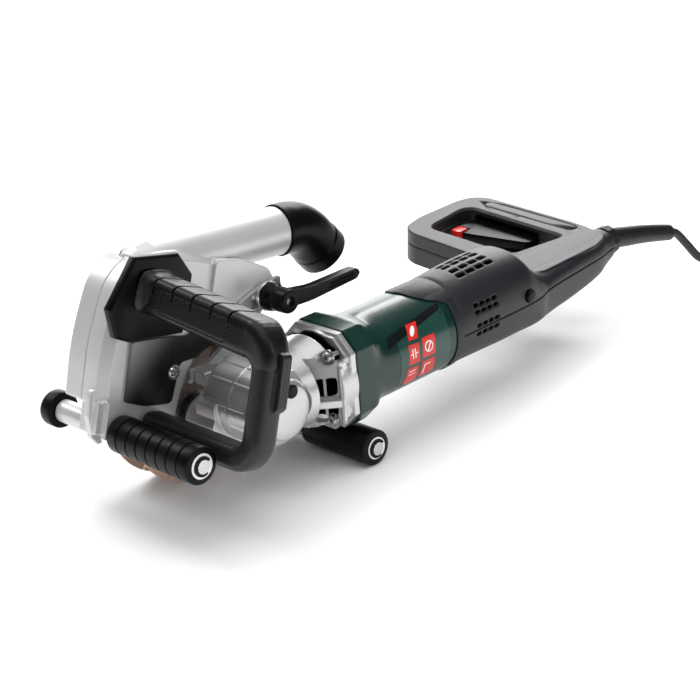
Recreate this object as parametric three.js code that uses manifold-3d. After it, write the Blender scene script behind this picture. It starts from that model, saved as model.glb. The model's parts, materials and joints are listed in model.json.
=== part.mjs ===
// Twin-disc wall chaser with swivelling rear handle, pivoting dust hood, rollers and extraction spout.
// Units millimetres, +Z up. +X runs along the roller axles towards the motor side,
// +Y runs from the rollers towards the mains cord.
import * as THREE from 'three';
import { mergeVertices } from 'three/addons/utils/BufferGeometryUtils.js';
import Module from 'manifold-3d';

const wasm = await Module();
wasm.setup();

// ---------- driving dimensions ----------
const DISC_R = 62.5, DISC_T = 2.2, DISC_NEAR_X = -24, DISC_GAP = 33;
const ROLLER_R = 16, AXLE_R = 6, WHEELBASE = 200;
const SPINDLE_Y = -117.1, SPINDLE_Z = 11.5;          // spindle in the hood frame (origin at rear axle)
const BASE_PITCH = -11.2 - 6.49, MOTOR_PITCH = -0.1; // degrees against the floor
const AXIS_X = 45;                                    // motor axis, lateral place
const LAY_S = 20.4, LAY_N = 18.65;                     // layshaft ahead of and above the spindle, motor frame
const BARREL_R = 41.6, HOUSE_S0 = 76, HOUSE_S1 = 207; // green motor housing along the motor axis
const HOOD_X0 = -67.5, HOOD_XM = -42, HOOD_X1 = -16;  // dust hood, far face / joint / near face
const HANDLE_TILT = 5;                                // rear loop plane, degrees
const RL0 = 207.4, RL1 = 466;                         // rear handle body along the motor axis
const HOSE_R = 19.5;                                  // hose socket bore
const CORD_R = 4.5;                                   // mains lead, 4 m long in all, coiled at its far end
const PLUG_TURN = 62, PLUG_AT = [-19, 38.5];               // plug lies on the coil

// ---------- helpers ----------
const D = Math.PI / 180;
const v2 = (a) => a.map(([x, y]) => new THREE.Vector2(x, y));
const area = (a) => a.reduce((t, p, i) => { const q = a[(i + 1) % a.length]; return t + p[0] * q[1] - q[0] * p[1]; }, 0) / 2;
const ccw = (a) => (area(a) < 0 ? [...a].reverse() : a);
function clean(g) { // weld on a 1 micron grid, drop collapsed faces
  const c = g.clone(); c.deleteAttribute('normal'); c.deleteAttribute('uv'); const p = c.attributes.position;
  for (let i = 0; i < p.count; i++) p.setXYZ(i, Math.round(p.getX(i) * 1e3) / 1e3 + 0, Math.round(p.getY(i) * 1e3) / 1e3 + 0, Math.round(p.getZ(i) * 1e3) / 1e3 + 0);
  const w = mergeVertices(c, 1e-4); const ix = w.index.array, keep = [];
  for (let i = 0; i < ix.length; i += 3) if (ix[i] !== ix[i + 1] && ix[i + 1] !== ix[i + 2] && ix[i] !== ix[i + 2]) keep.push(ix[i], ix[i + 1], ix[i + 2]);
  w.setIndex(keep); return w;
}
function man(g) {
  const c = clean(g);
  const p = Float32Array.from(c.attributes.position.array), t = Uint32Array.from(c.index.array);
  return new wasm.Manifold(new wasm.Mesh({ numProp: 3, vertProperties: p, triVerts: t }));
}
function geo(m) {
  const q = m.getMesh(); const n = q.vertProperties.length / q.numProp; const p = new Float32Array(n * 3);
  for (let i = 0; i < n; i++) for (let k = 0; k < 3; k++) p[i * 3 + k] = q.vertProperties[i * q.numProp + k];
  const g = new THREE.BufferGeometry(); g.setAttribute('position', new THREE.BufferAttribute(p, 3));
  g.setIndex(new THREE.BufferAttribute(Uint32Array.from(q.triVerts), 1)); g.computeVertexNormals(); return g;
}
const U = (...gs) => geo(gs.map(man).reduce((a, b) => a.add(b)));
const S = (g, ...cs) => geo(cs.map(man).reduce((a, b) => a.subtract(b), man(g)));
const I = (a, b) => geo(man(a).intersect(man(b)));
const T = (g, x, y, z) => g.translate(x, y, z);
const box = (x0, x1, y0, y1, z0, z1) => T(new THREE.BoxGeometry(x1 - x0, y1 - y0, z1 - z0), (x0 + x1) / 2, (y0 + y1) / 2, (z0 + z1) / 2);
// lathe about +Y: profile [r, y]
const SEG = 0.5;                                       // facet density of the round pieces
const few = (n) => Math.max(12, 4 * Math.round(n * SEG / 4));
function latheY(pr, seg = 32) {
  seg = few(seg);
  const pts = v2(pr); const a = pts[0], b = pts[pts.length - 1];
  if (!(a.x === 0 && b.x === 0)) pts.push(a.clone());
  let g = new THREE.LatheGeometry(pts, seg); g = clean(g);
  let vol = 0; const p = g.attributes.position, ix = g.index.array; const A = new THREE.Vector3(), B = new THREE.Vector3(), C = new THREE.Vector3();
  // drop degenerate faces on the axis
  const keep = [];
  for (let i = 0; i < ix.length; i += 3) { if (ix[i] !== ix[i + 1] && ix[i + 1] !== ix[i + 2] && ix[i] !== ix[i + 2]) keep.push(ix[i], ix[i + 1], ix[i + 2]); }
  for (let i = 0; i < keep.length; i += 3) { A.fromBufferAttribute(p, keep[i]); B.fromBufferAttribute(p, keep[i + 1]); C.fromBufferAttribute(p, keep[i + 2]); vol += A.dot(B.cross(C)); }
  if (vol < 0) for (let i = 0; i < keep.length; i += 3) { const t = keep[i]; keep[i] = keep[i + 1]; keep[i + 1] = t; }
  g.setIndex(keep); g.computeVertexNormals(); return g;
}
const latheX = (pr, seg = 32) => latheY(pr, seg).rotateZ(-Math.PI / 2);          // profile [r, x]
const rodX = (r, x0, x1, y = 0, z = 0, seg = 24) => T(latheX([[0, x0], [r, x0], [r, x1], [0, x1]], seg), 0, y, z);
const rodY = (r, y0, y1, x = 0, z = 0, seg = 24) => T(latheY([[0, y0], [r, y0], [r, y1], [0, y1]], seg), x, 0, z);
const tubeX = (ri, ro, x0, x1, y = 0, z = 0, seg = 28) => T(latheX([[ri, x0], [ro, x0], [ro, x1], [ri, x1]], seg), 0, y, z);
const tubeY = (ri, ro, y0, y1, x = 0, z = 0, seg = 32) => T(latheY([[ri, y0], [ro, y0], [ro, y1], [ri, y1]], seg), x, 0, z);
// outline in (y, z), extruded along +X from x0 to x1
function plateX(pts, x0, x1, holes = [], bevel = 0) {
  const s = new THREE.Shape(v2(ccw(pts))); for (const h of holes) s.holes.push(new THREE.Path(v2(ccw(h).slice().reverse())));
  const g = new THREE.ExtrudeGeometry(s, { depth: x1 - x0 - 2 * bevel, bevelEnabled: bevel > 0, bevelSize: bevel, bevelOffset: -bevel, bevelThickness: bevel, bevelSegments: 1, steps: 1 });
  // local (x, y, z) -> (z, x, y)
  g.applyMatrix4(new THREE.Matrix4().set(0, 0, 1, x0 + bevel, 1, 0, 0, 0, 0, 1, 0, 0, 0, 0, 0, 1)); return g;
}
// outline in (x, y), extruded along +Z from z0 to z1
function plateZ(pts, z0, z1, holes = [], bevel = 0) {
  const s = new THREE.Shape(v2(ccw(pts))); for (const h of holes) s.holes.push(new THREE.Path(v2(ccw(h).slice().reverse())));
  return T(new THREE.ExtrudeGeometry(s, { depth: z1 - z0 - 2 * bevel, bevelEnabled: bevel > 0, bevelSize: bevel, bevelOffset: -bevel, bevelThickness: bevel, bevelSegments: 1, steps: 1 }), 0, 0, z0 + bevel);
}
const circ = (cx, cy, r, n0 = 24, a0 = 0, n = few(n0)) => Array.from({ length: n }, (_, i) => [cx + r * Math.cos(a0 + i / n * 2 * Math.PI), cy + r * Math.sin(a0 + i / n * 2 * Math.PI)]);
function roundPoly(pts, r, n = 4) {
  const out = []; const N = pts.length;
  for (let i = 0; i < N; i++) {
    const p = pts[i], a = pts[(i + N - 1) % N], b = pts[(i + 1) % N]; const rr = Array.isArray(r) ? r[i] : r;
    const da = Math.hypot(a[0] - p[0], a[1] - p[1]), db = Math.hypot(b[0] - p[0], b[1] - p[1]); const k = Math.min(rr, da * 0.48, db * 0.48);
    if (k < 0.05) { out.push(p); continue; }
    const A = [p[0] + (a[0] - p[0]) / da * k, p[1] + (a[1] - p[1]) / da * k], B = [p[0] + (b[0] - p[0]) / db * k, p[1] + (b[1] - p[1]) / db * k];
    for (let j = 0; j <= n; j++) { const t = j / n; out.push([(1 - t) ** 2 * A[0] + 2 * t * (1 - t) * p[0] + t * t * B[0], (1 - t) ** 2 * A[1] + 2 * t * (1 - t) * p[1] + t * t * B[1]]); }
  }
  return out;
}
function sweep(pts3, section, steps, closed = false) {
  const curve = new THREE.CatmullRomCurve3(pts3.map((p) => new THREE.Vector3(...p)), closed, 'centripetal');
  return new THREE.ExtrudeGeometry(new THREE.Shape(v2(section)), { steps, bevelEnabled: false, extrudePath: curve });
}
function spur(teeth, ri, rr, ro, frac, x0, x1, a0) { // spur gear about X, tooth thickness fraction at root
  const pts = [];
  for (let i = 0; i < teeth; i++) { const c = a0 + i / teeth * 2 * Math.PI, w = Math.PI / teeth * frac; for (const [da, r] of [[-w, rr], [-w * 0.55, ro], [w * 0.55, ro], [w, rr]]) pts.push([r * Math.cos(c + da), r * Math.sin(c + da)]); }
  return plateX(pts, x0, x1, [circ(0, 0, ri, 20)]);
}

// closed body through superellipse sections [y, x0, x1, z0, z1, n]
function loft(secs, m = 28) {
  const pos = [], idx = [], k = secs.length;
  for (const [y, x0, x1, z0, z1, n] of secs) for (let j = 0; j < m; j++) {
    const t = j / m * 2 * Math.PI, c = Math.cos(t), d = Math.sin(t), e = 2 / n;
    pos.push((x0 + x1) / 2 + (x1 - x0) / 2 * Math.sign(c) * Math.abs(c) ** e, y, (z0 + z1) / 2 + (z1 - z0) / 2 * Math.sign(d) * Math.abs(d) ** e);
  }
  for (let i = 0; i < k - 1; i++) for (let j = 0; j < m; j++) { const a = i * m + j, b = i * m + (j + 1) % m; idx.push(a, a + m, b, b, a + m, b + m); }
  for (let j = 1; j < m - 1; j++) { idx.push(0, j, j + 1); idx.push((k - 1) * m, (k - 1) * m + j + 1, (k - 1) * m + j); }
  const g = new THREE.BufferGeometry(); g.setAttribute('position', new THREE.Float32BufferAttribute(pos, 3)); g.setIndex(idx);
  let vol = 0; const A = new THREE.Vector3(), B = new THREE.Vector3(), C = new THREE.Vector3(), pa = g.attributes.position;
  for (let i = 0; i < idx.length; i += 3) { A.fromBufferAttribute(pa, idx[i]); B.fromBufferAttribute(pa, idx[i + 1]); C.fromBufferAttribute(pa, idx[i + 2]); vol += A.dot(B.cross(C)); }
  if (vol < 0) { for (let i = 0; i < idx.length; i += 3) { const t = idx[i]; idx[i] = idx[i + 1]; idx[i + 1] = t; } g.setIndex(idx); }
  g.computeVertexNormals(); return g;
}

const root = new THREE.Group();
const gM = new THREE.Group(), gH = new THREE.Group(), gR = new THREE.Group();
root.add(gM, gH); gM.add(gR);
const mats = {
  cast: ['#c9cbcd', 0.42, 0.85], castDark: ['#6c6e72', 0.5, 0.6], steel: ['#b4b6ba', 0.3, 0.95], chrome: ['#e2e4e6', 0.15, 1], green: ['#12493c', 0.4, 0.05],
  black: ['#1b1c1e', 0.6, 0.05], rubber: ['#141414', 0.85, 0], copper: ['#9c5a2c', 0.5, 0.7], disc: ['#b9a79e', 0.5, 0.6], red: ['#c8281e', 0.5, 0], carbon: ['#2c2c2e', 0.8, 0.1], brass: ['#b8923c', 0.35, 0.9],
};
function add(group, name, g, m) {
  const [c, r, k] = mats[m]; const mesh = new THREE.Mesh(g, new THREE.MeshStandardMaterial({ color: new THREE.Color(c), roughness: r, metalness: k }));
  mesh.name = name; group.add(mesh); return mesh;
}

// frames: hood frame origin at the rear axle, motor frame origin where the motor axis meets the layshaft
gH.rotation.x = BASE_PITCH * D;
gM.rotation.x = MOTOR_PITCH * D;
const spW = new THREE.Vector3(0, SPINDLE_Y, SPINDLE_Z).applyAxisAngle(new THREE.Vector3(1, 0, 0), BASE_PITCH * D);
const layOff = new THREE.Vector3(0, LAY_S, LAY_N).applyAxisAngle(new THREE.Vector3(1, 0, 0), MOTOR_PITCH * D);
gM.position.copy(spW).add(layOff);
gR.rotation.y = HANDLE_TILT * D; gR.position.set(AXIS_X, 0, 0);
// rear axle seen from the motor frame
const raM = new THREE.Vector3().sub(gM.position).applyAxisAngle(new THREE.Vector3(1, 0, 0), -MOTOR_PITCH * D);
const SP = [-LAY_S, -LAY_N];

// =============== motor unit (root body) ===============
{
  // gear housing: neck, layshaft head, spindle nose, flange, pivot lug
  const head = T(latheX([[0, 6], [29, 6], [34, 11], [34, 66], [28, 74], [0, 74]], 36), 0, 0, 0);
  const nose = rodX(21.4, -6, 30, SP[0], SP[1], 32);
  const web = plateX([[0, 33], [-38, 5], [-38, -30], [-10, -33], [20, -33]], 6, 30);
  const neck = T(latheY([[0, -6], [30, 0], [33, 22], [36, 40], [41, 56], [42.5, 64], [42.5, HOUSE_S0 - 0.4], [0, HOUSE_S0 - 0.4]], 36), AXIS_X, 0, 0);
  const flange = T(plateX(roundPoly([[60, -42], [HOUSE_S0 - 0.4, -42], [HOUSE_S0 - 0.4, 42], [60, 42]], 3, 2), 6, 84), 0, 0, 0);
  const flangeR = I(flange, T(latheY([[0, 50], [52, 50], [52, 80], [0, 80]], 40), AXIS_X, 0, 0));
  // lug down to the rear axle
  const ry = raM.y, rz = raM.z;
  const lug = plateX([[44, -24], [ry + 8, -30], [ry + 12, rz + 2], [ry + 8, rz - 9], [ry - 4, rz - 12], [ry - 12, rz - 4], [46, -36]], -9, 9);
  const lugArm = box(0, 30, 44, 74, -40, -28);
  const ear = box(-6, 8, -26, 8, 14, 26);
  let b = [head, nose, web, neck, flangeR, lug, lugArm, ear].map(man).reduce((a, c) => a.add(c));
  const cut = [
    rodX(30.5, 26.5, 64, 0, 0, 32),                                   // crown gear room
    rodX(16, 12, 27, 0, 0, 24), rodX(19.2, 12, 29, SP[0], SP[1], 28),  // spur gear room
    rodX(6.4, 5, 13, 0, 0, 24), rodX(13.9, -7, 13, SP[0], SP[1], 24), // bearing seats
    rodX(11.8, 63, 80, 0, 0, 24), rodX(27.8, 74.1, 100, 0, 0, 36),                                     // near bearing seat, open to the cover
    T(latheY([[0, 16], [15, 16], [15, 34], [13.4, 34], [13.4, 42], [30, 50], [37.5, 60], [37.5, 90], [0, 90]], 32), AXIS_X, 0, 0),
    rodX(6.25, -12, 12, ry, rz, 24),                                   // pivot bore
    // slanted near face with two cooling windows
    plateZ([[83.6, 58.6], [110, 58.6], [110, 36], [61.8, 36]], -60, 60), box(63.6, 100, 40.5, 54.5, -4.8, 10.2), box(63.6, 100, 40.5, 54.5, -30, -16.2),
    rodX(3.4, 60, 100, -2, 22, 12),
  ].map(man).reduce((a, c) => a.add(c));
  b = b.subtract(cut);
  // screw holes for the four housing screws
  for (const [dx, dn] of [[-29, 29], [29, 29], [29, -29], [-29, -29]]) b = b.subtract(man(rodY(2.6, 50, 80, AXIS_X + dx, dn, 12))).subtract(man(rodY(5.0, 40, 64, AXIS_X + dx, dn, 16)));
  add(gM, 'gear_housing', geo(b), 'cast');
  [[-29, 29], [29, 29], [29, -29], [-29, -29]].forEach(([dx, dn], i) => add(gM, 'housing_screw_' + (i + 1),
    T(S(latheY([[0, 60], [4.4, 60], [4.4, 63.6], [2.2, 63.6], [2.2, 74], [0, 74]], 16), box(-0.6, 0.6, 59, 61.5, -3, 3)), AXIS_X + dx, 0, dn), 'steel'));
  // near side cover with bearing pocket
  add(gM, 'gear_cover', S(latheX([[0, 74.4], [27, 74.4], [25, 79.5], [19, 82], [0, 82]], 36), rodX(3.4, 60, 100, -2, 22, 12)), 'cast');
  add(gM, 'layshaft_bearing_near', tubeX(6.2, 10.9, 64.6, 71.6), 'steel');
  add(gM, 'spindle_bearing', tubeX(8.3, 13.1, -4.8, 4.8, SP[0], SP[1]), 'steel');
  add(gM, 'spindle_bearing_plate', S(U(tubeX(10.2, 20.6, -9.4, -6.4, SP[0], SP[1], 32), tubeX(10.2, 12.9, -6.6, -5.2, SP[0], SP[1], 32)), rodX(1.5, -12, 0, SP[0] + 17, SP[1], 10), rodX(1.5, -12, 0, SP[0] - 17, SP[1], 10)), 'castDark');
  // depth segment: slotted arc about the rear axle
  const R0 = 131.5; const arc = (r, a, b, n = 12) => Array.from({ length: n + 1 }, (_, i) => { const t = (a + (b - a) * i / n) * D; return [ry + r * Math.cos(t), rz + r * Math.sin(t)]; });
  const off = (MOTOR_PITCH - BASE_PITCH);       // hood frame angle seen from the motor frame
  const a0 = 118.1 - 3.2 - off, a1 = 118.1 + 18.3 - off;
  const seg = plateX([...arc(R0 + 10, a0 - 4.5, a1 + 4.5, 12), ...arc(R0 - 10, a0 - 4.5, a1 + 4.5, 12).reverse()], -11.4, -6.7, [[...arc(R0 + 4.4, a0, a1, 12), ...arc(R0 - 4.4, a0, a1, 12).reverse()]]);
  const strut = plateX([...arc(R0 - 8, a0 + 5, a1 - 3, 6), [-30, 15], [6, 15]], -11.4, -6.7);
  const foot = box(-11.4, -6.4, -26, 8, 14.5, 25.5);
  add(gM, 'depth_segment', S(U(seg, I(strut, box(-12, -6, -80, 60, 14.5, 120)), foot), rodX(1.6, -14, 0, -20, 20, 10), rodX(1.6, -14, 0, 2, 20, 10)), 'castDark');

  // motor housing, flared at the gear head
  const shell = latheY([[41.2, HOUSE_S0], [44.6, HOUSE_S0], [44.6, HOUSE_S0 + 8], [BARREL_R + 0.8, HOUSE_S0 + 30], [BARREL_R, HOUSE_S0 + 42], [BARREL_R, HOUSE_S1], [38.2, HOUSE_S1], [38.2, HOUSE_S0 + 6]], 48);
  // the housing carries the rear bearing on a moulded bridge
  add(gM, 'motor_housing', S(U(T(shell, AXIS_X, 0, 0), tubeY(9.7, 13, 186, 196, AXIS_X, 0, 24), box(AXIS_X - 39.5, AXIS_X + 39.5, 190, 196, -5, 5)), rodY(9.7, 180, 200, AXIS_X, 0, 24)), 'green');
  const lam = latheY([[28.5, 98], [37.8, 98], [37.8, 158], [28.5, 158]], 32);
  add(gM, 'stator', T(lam, AXIS_X, 0, 0), 'copper');
  add(gM, 'armature_bearing_front', tubeY(5.3, 13.0, 34.4, 41.6, AXIS_X, 0, 28), 'steel');
  add(gM, 'armature_bearing_rear', tubeY(4.3, 9.4, 187, 194, AXIS_X, 0, 24), 'steel');
  for (const [nm, sg] of [['left', -1], ['right', 1]]) {
    const bx = (a, b2) => (sg > 0 ? [AXIS_X + a, AXIS_X + b2] : [AXIS_X - b2, AXIS_X - a]);
    add(gM, 'brush_' + nm, U(box(...bx(16, 32), 169, 181, -6, 6), box(...bx(12.6, 20), 171.9, 178.1, -3.1, 3.1)), 'brass');
  }
}

// =============== armature ===============
{ // the pinion is cut on the end of the armature shaft
  const pts = []; const n = 12;
  for (let i = 0; i < n; i++) { const c = (i + 0.5) / n * 2 * Math.PI + Math.PI, w = Math.PI / n * 0.5; for (const [da, r] of [[-w, 5.9], [-w * 0.5, 8.3], [w * 0.5, 8.3], [w, 5.9]]) pts.push([r * Math.cos(c + da), r * Math.sin(c + da)]); }
  const s = new THREE.Shape(v2(ccw(pts)));
  const g = new THREE.ExtrudeGeometry(s, { depth: 6, bevelEnabled: false, steps: 1 }); g.rotateX(-Math.PI / 2); g.translate(0, 21, 0);
  add(gM, 'armature_shaft', T(U(g, latheY([[0, 20], [5, 20], [5, 160], [4, 184], [4, 198], [0, 198]], 20)), AXIS_X, 0, 0), 'steel');
}
add(gM, 'armature_core', T(latheY([[5.1, 96], [27.6, 96], [27.6, 160], [5.1, 160]], 28), AXIS_X, 0, 0), 'copper');
add(gM, 'commutator', T(latheY([[5.1, 166], [12, 166], [12, 183], [5.1, 183]], 24), AXIS_X, 0, 0), 'copper');
{
  const hub = tubeY(5.1, 10, 64, 84, 0, 0, 20), disk = tubeY(9, 34, 80, 83, 0, 0, 28);
  const parts = [hub, disk]; for (let i = 0; i < 10; i++) { const bl = box(-0.8, 0.8, 66, 81, 9, 33); bl.rotateY(i * Math.PI / 5); parts.push(bl); }
  add(gM, 'cooling_fan', T(U(...parts), AXIS_X, 0, 0), 'black');
}
// =============== layshaft ===============
add(gM, 'layshaft', U(rodX(5.9, 6.4, 72, 0, 0, 20), spur(22, 5, 9.8, 11.9, 0.55, 14, 24, Math.atan2(SP[1], SP[0]))), 'steel');
{
  const n = 30, parts = [tubeX(6.1, 27.5, 29.5, 36.2, 0, 0, 40)];
  for (let i = 0; i < n; i++) { const t = box(35.8, 37.7, 19.5, 27.2, -0.6, 0.6); t.rotateX(i / n * 2 * Math.PI); parts.push(t); }
  add(gM, 'crown_gear', U(...parts), 'steel');
}
// =============== spindle ===============
{
  const sx = (g) => T(g, 0, SP[0], SP[1]);
  add(gM, 'spindle', sx(latheX([[0, -64.5], [6.9, -64.5], [6.9, -13], [8, -13], [8, 27], [0, 27]], 24)), 'steel');
  add(gM, 'spindle_gear', sx(spur(33, 8.2, 15.4, 17.4, 0.55, 14, 24, Math.atan2(-SP[1], -SP[0]) + Math.PI / 33)), 'steel');
  add(gM, 'inner_flange', sx(latheX([[7.1, -22.6], [20, -22.6], [20, -18], [12, -16], [8.9, -13.2], [8.9, -12.8], [8.3, -12.8], [8.3, -13.4], [7.1, -13.4]], 28)), 'steel');
  const disc = (x) => { // segmented diamond rim with gullets
    let g = man(tubeX(11.15, DISC_R, x - DISC_T / 2, x + DISC_T / 2, 0, 0, 60));
    for (let i = 0; i < 8; i++) { const k = box(x - 3, x + 3, 52, 70, -1.1, 1.1); k.rotateX(i * Math.PI / 4 + 0.2); g = g.subtract(man(k)); }
    return sx(geo(g));
  };
  add(gM, 'cutting_disc_near', disc(DISC_NEAR_X), 'disc');
  add(gM, 'cutting_disc_far', disc(DISC_NEAR_X - DISC_GAP), 'disc');
  add(gM, 'spacer_sleeve', sx(tubeX(7.2, 17, DISC_NEAR_X - DISC_GAP + 1.4, DISC_NEAR_X - 1.4)), 'steel');
  add(gM, 'clamping_nut', sx(S(tubeX(7.2, 18, -63.4, -58.5), rodX(2.2, -66, -60.5, 13, 0, 10), rodX(2.2, -66, -60.5, -13, 0, 10))), 'steel');
}
add(gM, 'spindle_lock_button', T(latheX([[0, 66], [2.9, 66], [2.9, 86], [6, 86], [6, 89.4], [5, 90.6], [0, 90.6]], 20), 0, -2, 22), 'black');

// =============== hood and chassis ===============
{
  const prof = [[-222, 22], [-223, 70], [-214, 120], [-200, 139], [-180, 149], [-150, 152], [-112, 148], [-76.5, 128], [-39.5, 70], [-38.5, 24], [-43, -6], [-175, -6], [-185, 22]];
  const outer = roundPoly(prof, [2, 20, 20, 12, 12, 10, 14, 22, 20, 10, 4, 4, 4], 3);
  const inn = roundPoly([[-218.5, 18], [-219.5, 70], [-211, 118], [-198, 136], [-179, 145.5], [-150, 148.5], [-113, 144.5], [-80, 126], [-43, 69], [-42, 24], [-46.5, -20], [-180, -20], [-187, 18]], [2, 18, 18, 10, 10, 8, 12, 20, 18, 8, 1, 1, 2], 3);
  const dir = 12.6 * D, ex = -28.5, ez = 166.5, SR = 22;
  const spout = (r, a, b) => { const g = rodY(r, a, b, 0, 0, 32); g.rotateX(dir); return T(g, HOOD_XM + 0.2, ex, ez); };
  const bar = rodX(10, -90.5, -14.5, -WHEELBASE, 0, 24);
  const barCut = rodX(11, -120, 20, -WHEELBASE, 0, 24);
  // the swept opening that the spindle nose needs in the near wall
  const sweepHole = []; { const Rs = Math.hypot(SPINDLE_Y, SPINDLE_Z), as = Math.atan2(SPINDLE_Z, SPINDLE_Y); for (let i = 0; i <= 6; i++) { const t = as + (3.4 - i * (3.4 + 18.4) / 6) * D; sweepHole.push(rodX(24, -30, 0, Rs * Math.cos(t), Rs * Math.sin(t), 24)); } }
  const body0 = plateX(outer, HOOD_XM + 0.3, HOOD_X1, [], 1.5), body1 = plateX(inn, HOOD_XM - 1, HOOD_X1 - 2.6);
  let b = man(body0).add(man(spout(SR, -138, 0)).intersect(man(box(HOOD_X0, HOOD_X1 + 30, -300, 200, -20, 300))));
  // spout is one tube on the near half; the far cover wraps its foot
  b = b.add(man(box(-41.7, -34, -221.5, -190, -2, 30))).add(man(plateX([[-214, -6], [-214, 40], [-180, 40], [-172, 0], [-186, -8]], -22, HOOD_X1))).add(man(bar));
  // side rib and arms to the rear axle
  b = b.add(man(plateX([[-84, 10], [-40, 30], [4, 15], [14, 8], [15, -6], [6, -15], [-8, -14], [-60, -6]], -22, HOOD_X1)));
  // clamp ear
  b = b.add(man(plateX(roundPoly([[-120, 100], [-120, 146], [-88, 146], [-58, 139], [-46, 122], [-50, 104], [-70, 98]], 5, 2), -18.6, -12)));
  b = b.subtract(man(body1)).subtract(man(spout(SR - 2.6, -120, 10)));
  for (const h of sweepHole) b = b.subtract(man(h));
  b = b.subtract(man(rodX(6.25, -130, 10, -WHEELBASE, 0, 20))).subtract(man(rodX(6.25, -60, 10, 0, 0, 20)));
  b = b.subtract(man(rodX(4.3, -40, 0, -62, 116, 16)));
  b = b.subtract(man(box(-60, -40.6, -232, -135, 12, 200)).intersect(man(plateX(outer, -60, -20)))).add(man(I(box(-41.7, -40.6, -231, -160, 12, 160), S(plateX(outer, -60, -20), plateX(inn, -70, -10)))));
  add(gH, 'hood_body', geo(b), 'cast');
  // far cover
  const c0 = plateX(outer, HOOD_X0, HOOD_XM - 0.3, [], 1.5), c1 = plateX(inn, HOOD_X0 + 2.4, HOOD_XM + 5);
  let c = man(c0).add(man(plateX([[-84, 10], [-40, 30], [4, 15], [14, 8], [15, -6], [6, -15], [-8, -14], [-60, -6]], HOOD_X0, HOOD_X0 + 6)));
  c = c.subtract(man(c1)).subtract(man(spout(SR + 0.4, -138.4, 10))).subtract(man(barCut)).subtract(man(rodX(6.25, -130, 10, 0, 0, 20)));
  add(gH, 'hood_cover', geo(c), 'cast');
  add(gH, 'front_axle', rodX(AXLE_R, -106.5, 91.5, -WHEELBASE, 0, 20), 'steel');
  add(gH, 'rear_axle', rodX(AXLE_R, -82.5, 91.5, 0, 0, 20), 'steel');
  // rollers
  const ribbed = []; { // eight ribs
    const x0 = -13, x1 = 88.4, n = 8, w = (x1 - x0) / n; ribbed.push([6.15, x0]); ribbed.push([15, x0]); for (let i = 0; i < n; i++) { const a = x0 + i * w, e = a + w; ribbed.push([ROLLER_R, a + 1.6]); ribbed.push([ROLLER_R, e - 1.6]); if (i < n - 1) ribbed.push([14.4, e]); } ribbed.push([15, x1]); ribbed.push([6.15, x1]); }
  const rr = []; for (const q of ribbed) { const l = rr[rr.length - 1]; if (!l || Math.abs(l[0] - q[0]) + Math.abs(l[1] - q[1]) > 1e-6) rr.push(q); }
  add(gH, 'front_roller', T(latheX(rr, 32), 0, -WHEELBASE, 0), 'rubber');
  const wheel = (x0, x1, y) => T(latheX([[6.15, x0], [14.5, x0], [ROLLER_R, x0 + 1.8], [ROLLER_R, x1 - 1.8], [14.5, x1], [6.15, x1]], 32), 0, y, 0);
  add(gH, 'front_wheel', wheel(-104.4, -91.6, -WHEELBASE), 'rubber');
  add(gH, 'rear_roller', wheel(11, 88.4, 0), 'rubber');
  add(gH, 'rear_wheel', wheel(-80.4, -68.2, 0), 'rubber');
  for (const [nm, y] of [['front', -WHEELBASE], ['rear', 0]]) {
    const n = 14, o = [], i2 = []; for (let i = 0; i <= n; i++) { const t = (40 + 280 * i / n) * D; o.push([Math.cos(t) * 8.4, Math.sin(t) * 8.4]); i2.push([Math.cos(t) * 6.25, Math.sin(t) * 6.25]); }
    add(gH, nm + '_axle_retainer', T(U(tubeX(6.2, 9.5, 88.7, 89.6, 0, 0, 24), plateX([...o, ...i2.reverse()], 89.4, 90.8)), 0, y, 0), 'chrome');
  }
  // octagonal handle plate, bail handle, grip
  const oct = [[-211, 147.5], [-165, 151.5], [-147, 134], [-147.6, 112], [-150, 84], [-206, 77.5], [-221, 81], [-231, 104.5]];
  add(gH, 'handle_plate', plateX(oct, -15.7, -8, [], 1.2), 'black');
  const HY = -168, ZT = 103, ZB = 7, XO = 116, RC = 20;
  const TB = (x) => { const t = (x + 7.6) / 103.6; return [x, -188 + 20 * t, 118 - 15 * t]; };   // top bar rises a little to its root
  const path = []; path.push(TB(-7.6), TB(30), TB(62), TB(90));
  for (let i = 0; i <= 5; i++) { const t = (90 - 18 * i) * D; path.push([XO - RC + RC * Math.cos(t), HY, ZT - RC + RC * Math.sin(t)]); }
  path.push([XO, HY, 70], [XO, HY, 45]);
  for (let i = 0; i <= 5; i++) { const t = (-18 * i) * D; path.push([XO - RC + RC * Math.cos(t), HY, ZB + RC + RC * Math.sin(t)]); }
  path.push([60, HY, ZB], [20, HY, ZB], [-12, HY, ZB]);
  const secPts = roundPoly([[-12, -11], [12, -11], [12, 11], [-12, 11]], 7, 2);
  const barH = I(sweepPath(path, secPts), U(box(-7.6, 200, -260, -100, 60, 180), box(-14, 200, -260, -100, -40, 60.1)));
  add(gH, 'front_handle', U(barH, plateX(roundPoly([[-204, 103], [-204, 136.6], [-170.4, 136.6], [-170.4, 103]], 8, 3), -7.6, 0)), 'black');
  // soft grip sleeve sits around the top bar
  const gripO = roundPoly([[-15.4, -14.6], [17.6, -14.6], [17.6, 18.4], [-15.4, 18.4]], 10, 3), gripI = roundPoly([[-12.9, -11.9], [12.9, -11.9], [12.9, 11.9], [-12.9, 11.9]], 7, 2);
  add(gH, 'front_handle_grip', S(sweepPath([TB(4.5), TB(84)], gripO), sweepPath([TB(-4), TB(90)], gripI)), 'rubber');
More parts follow.
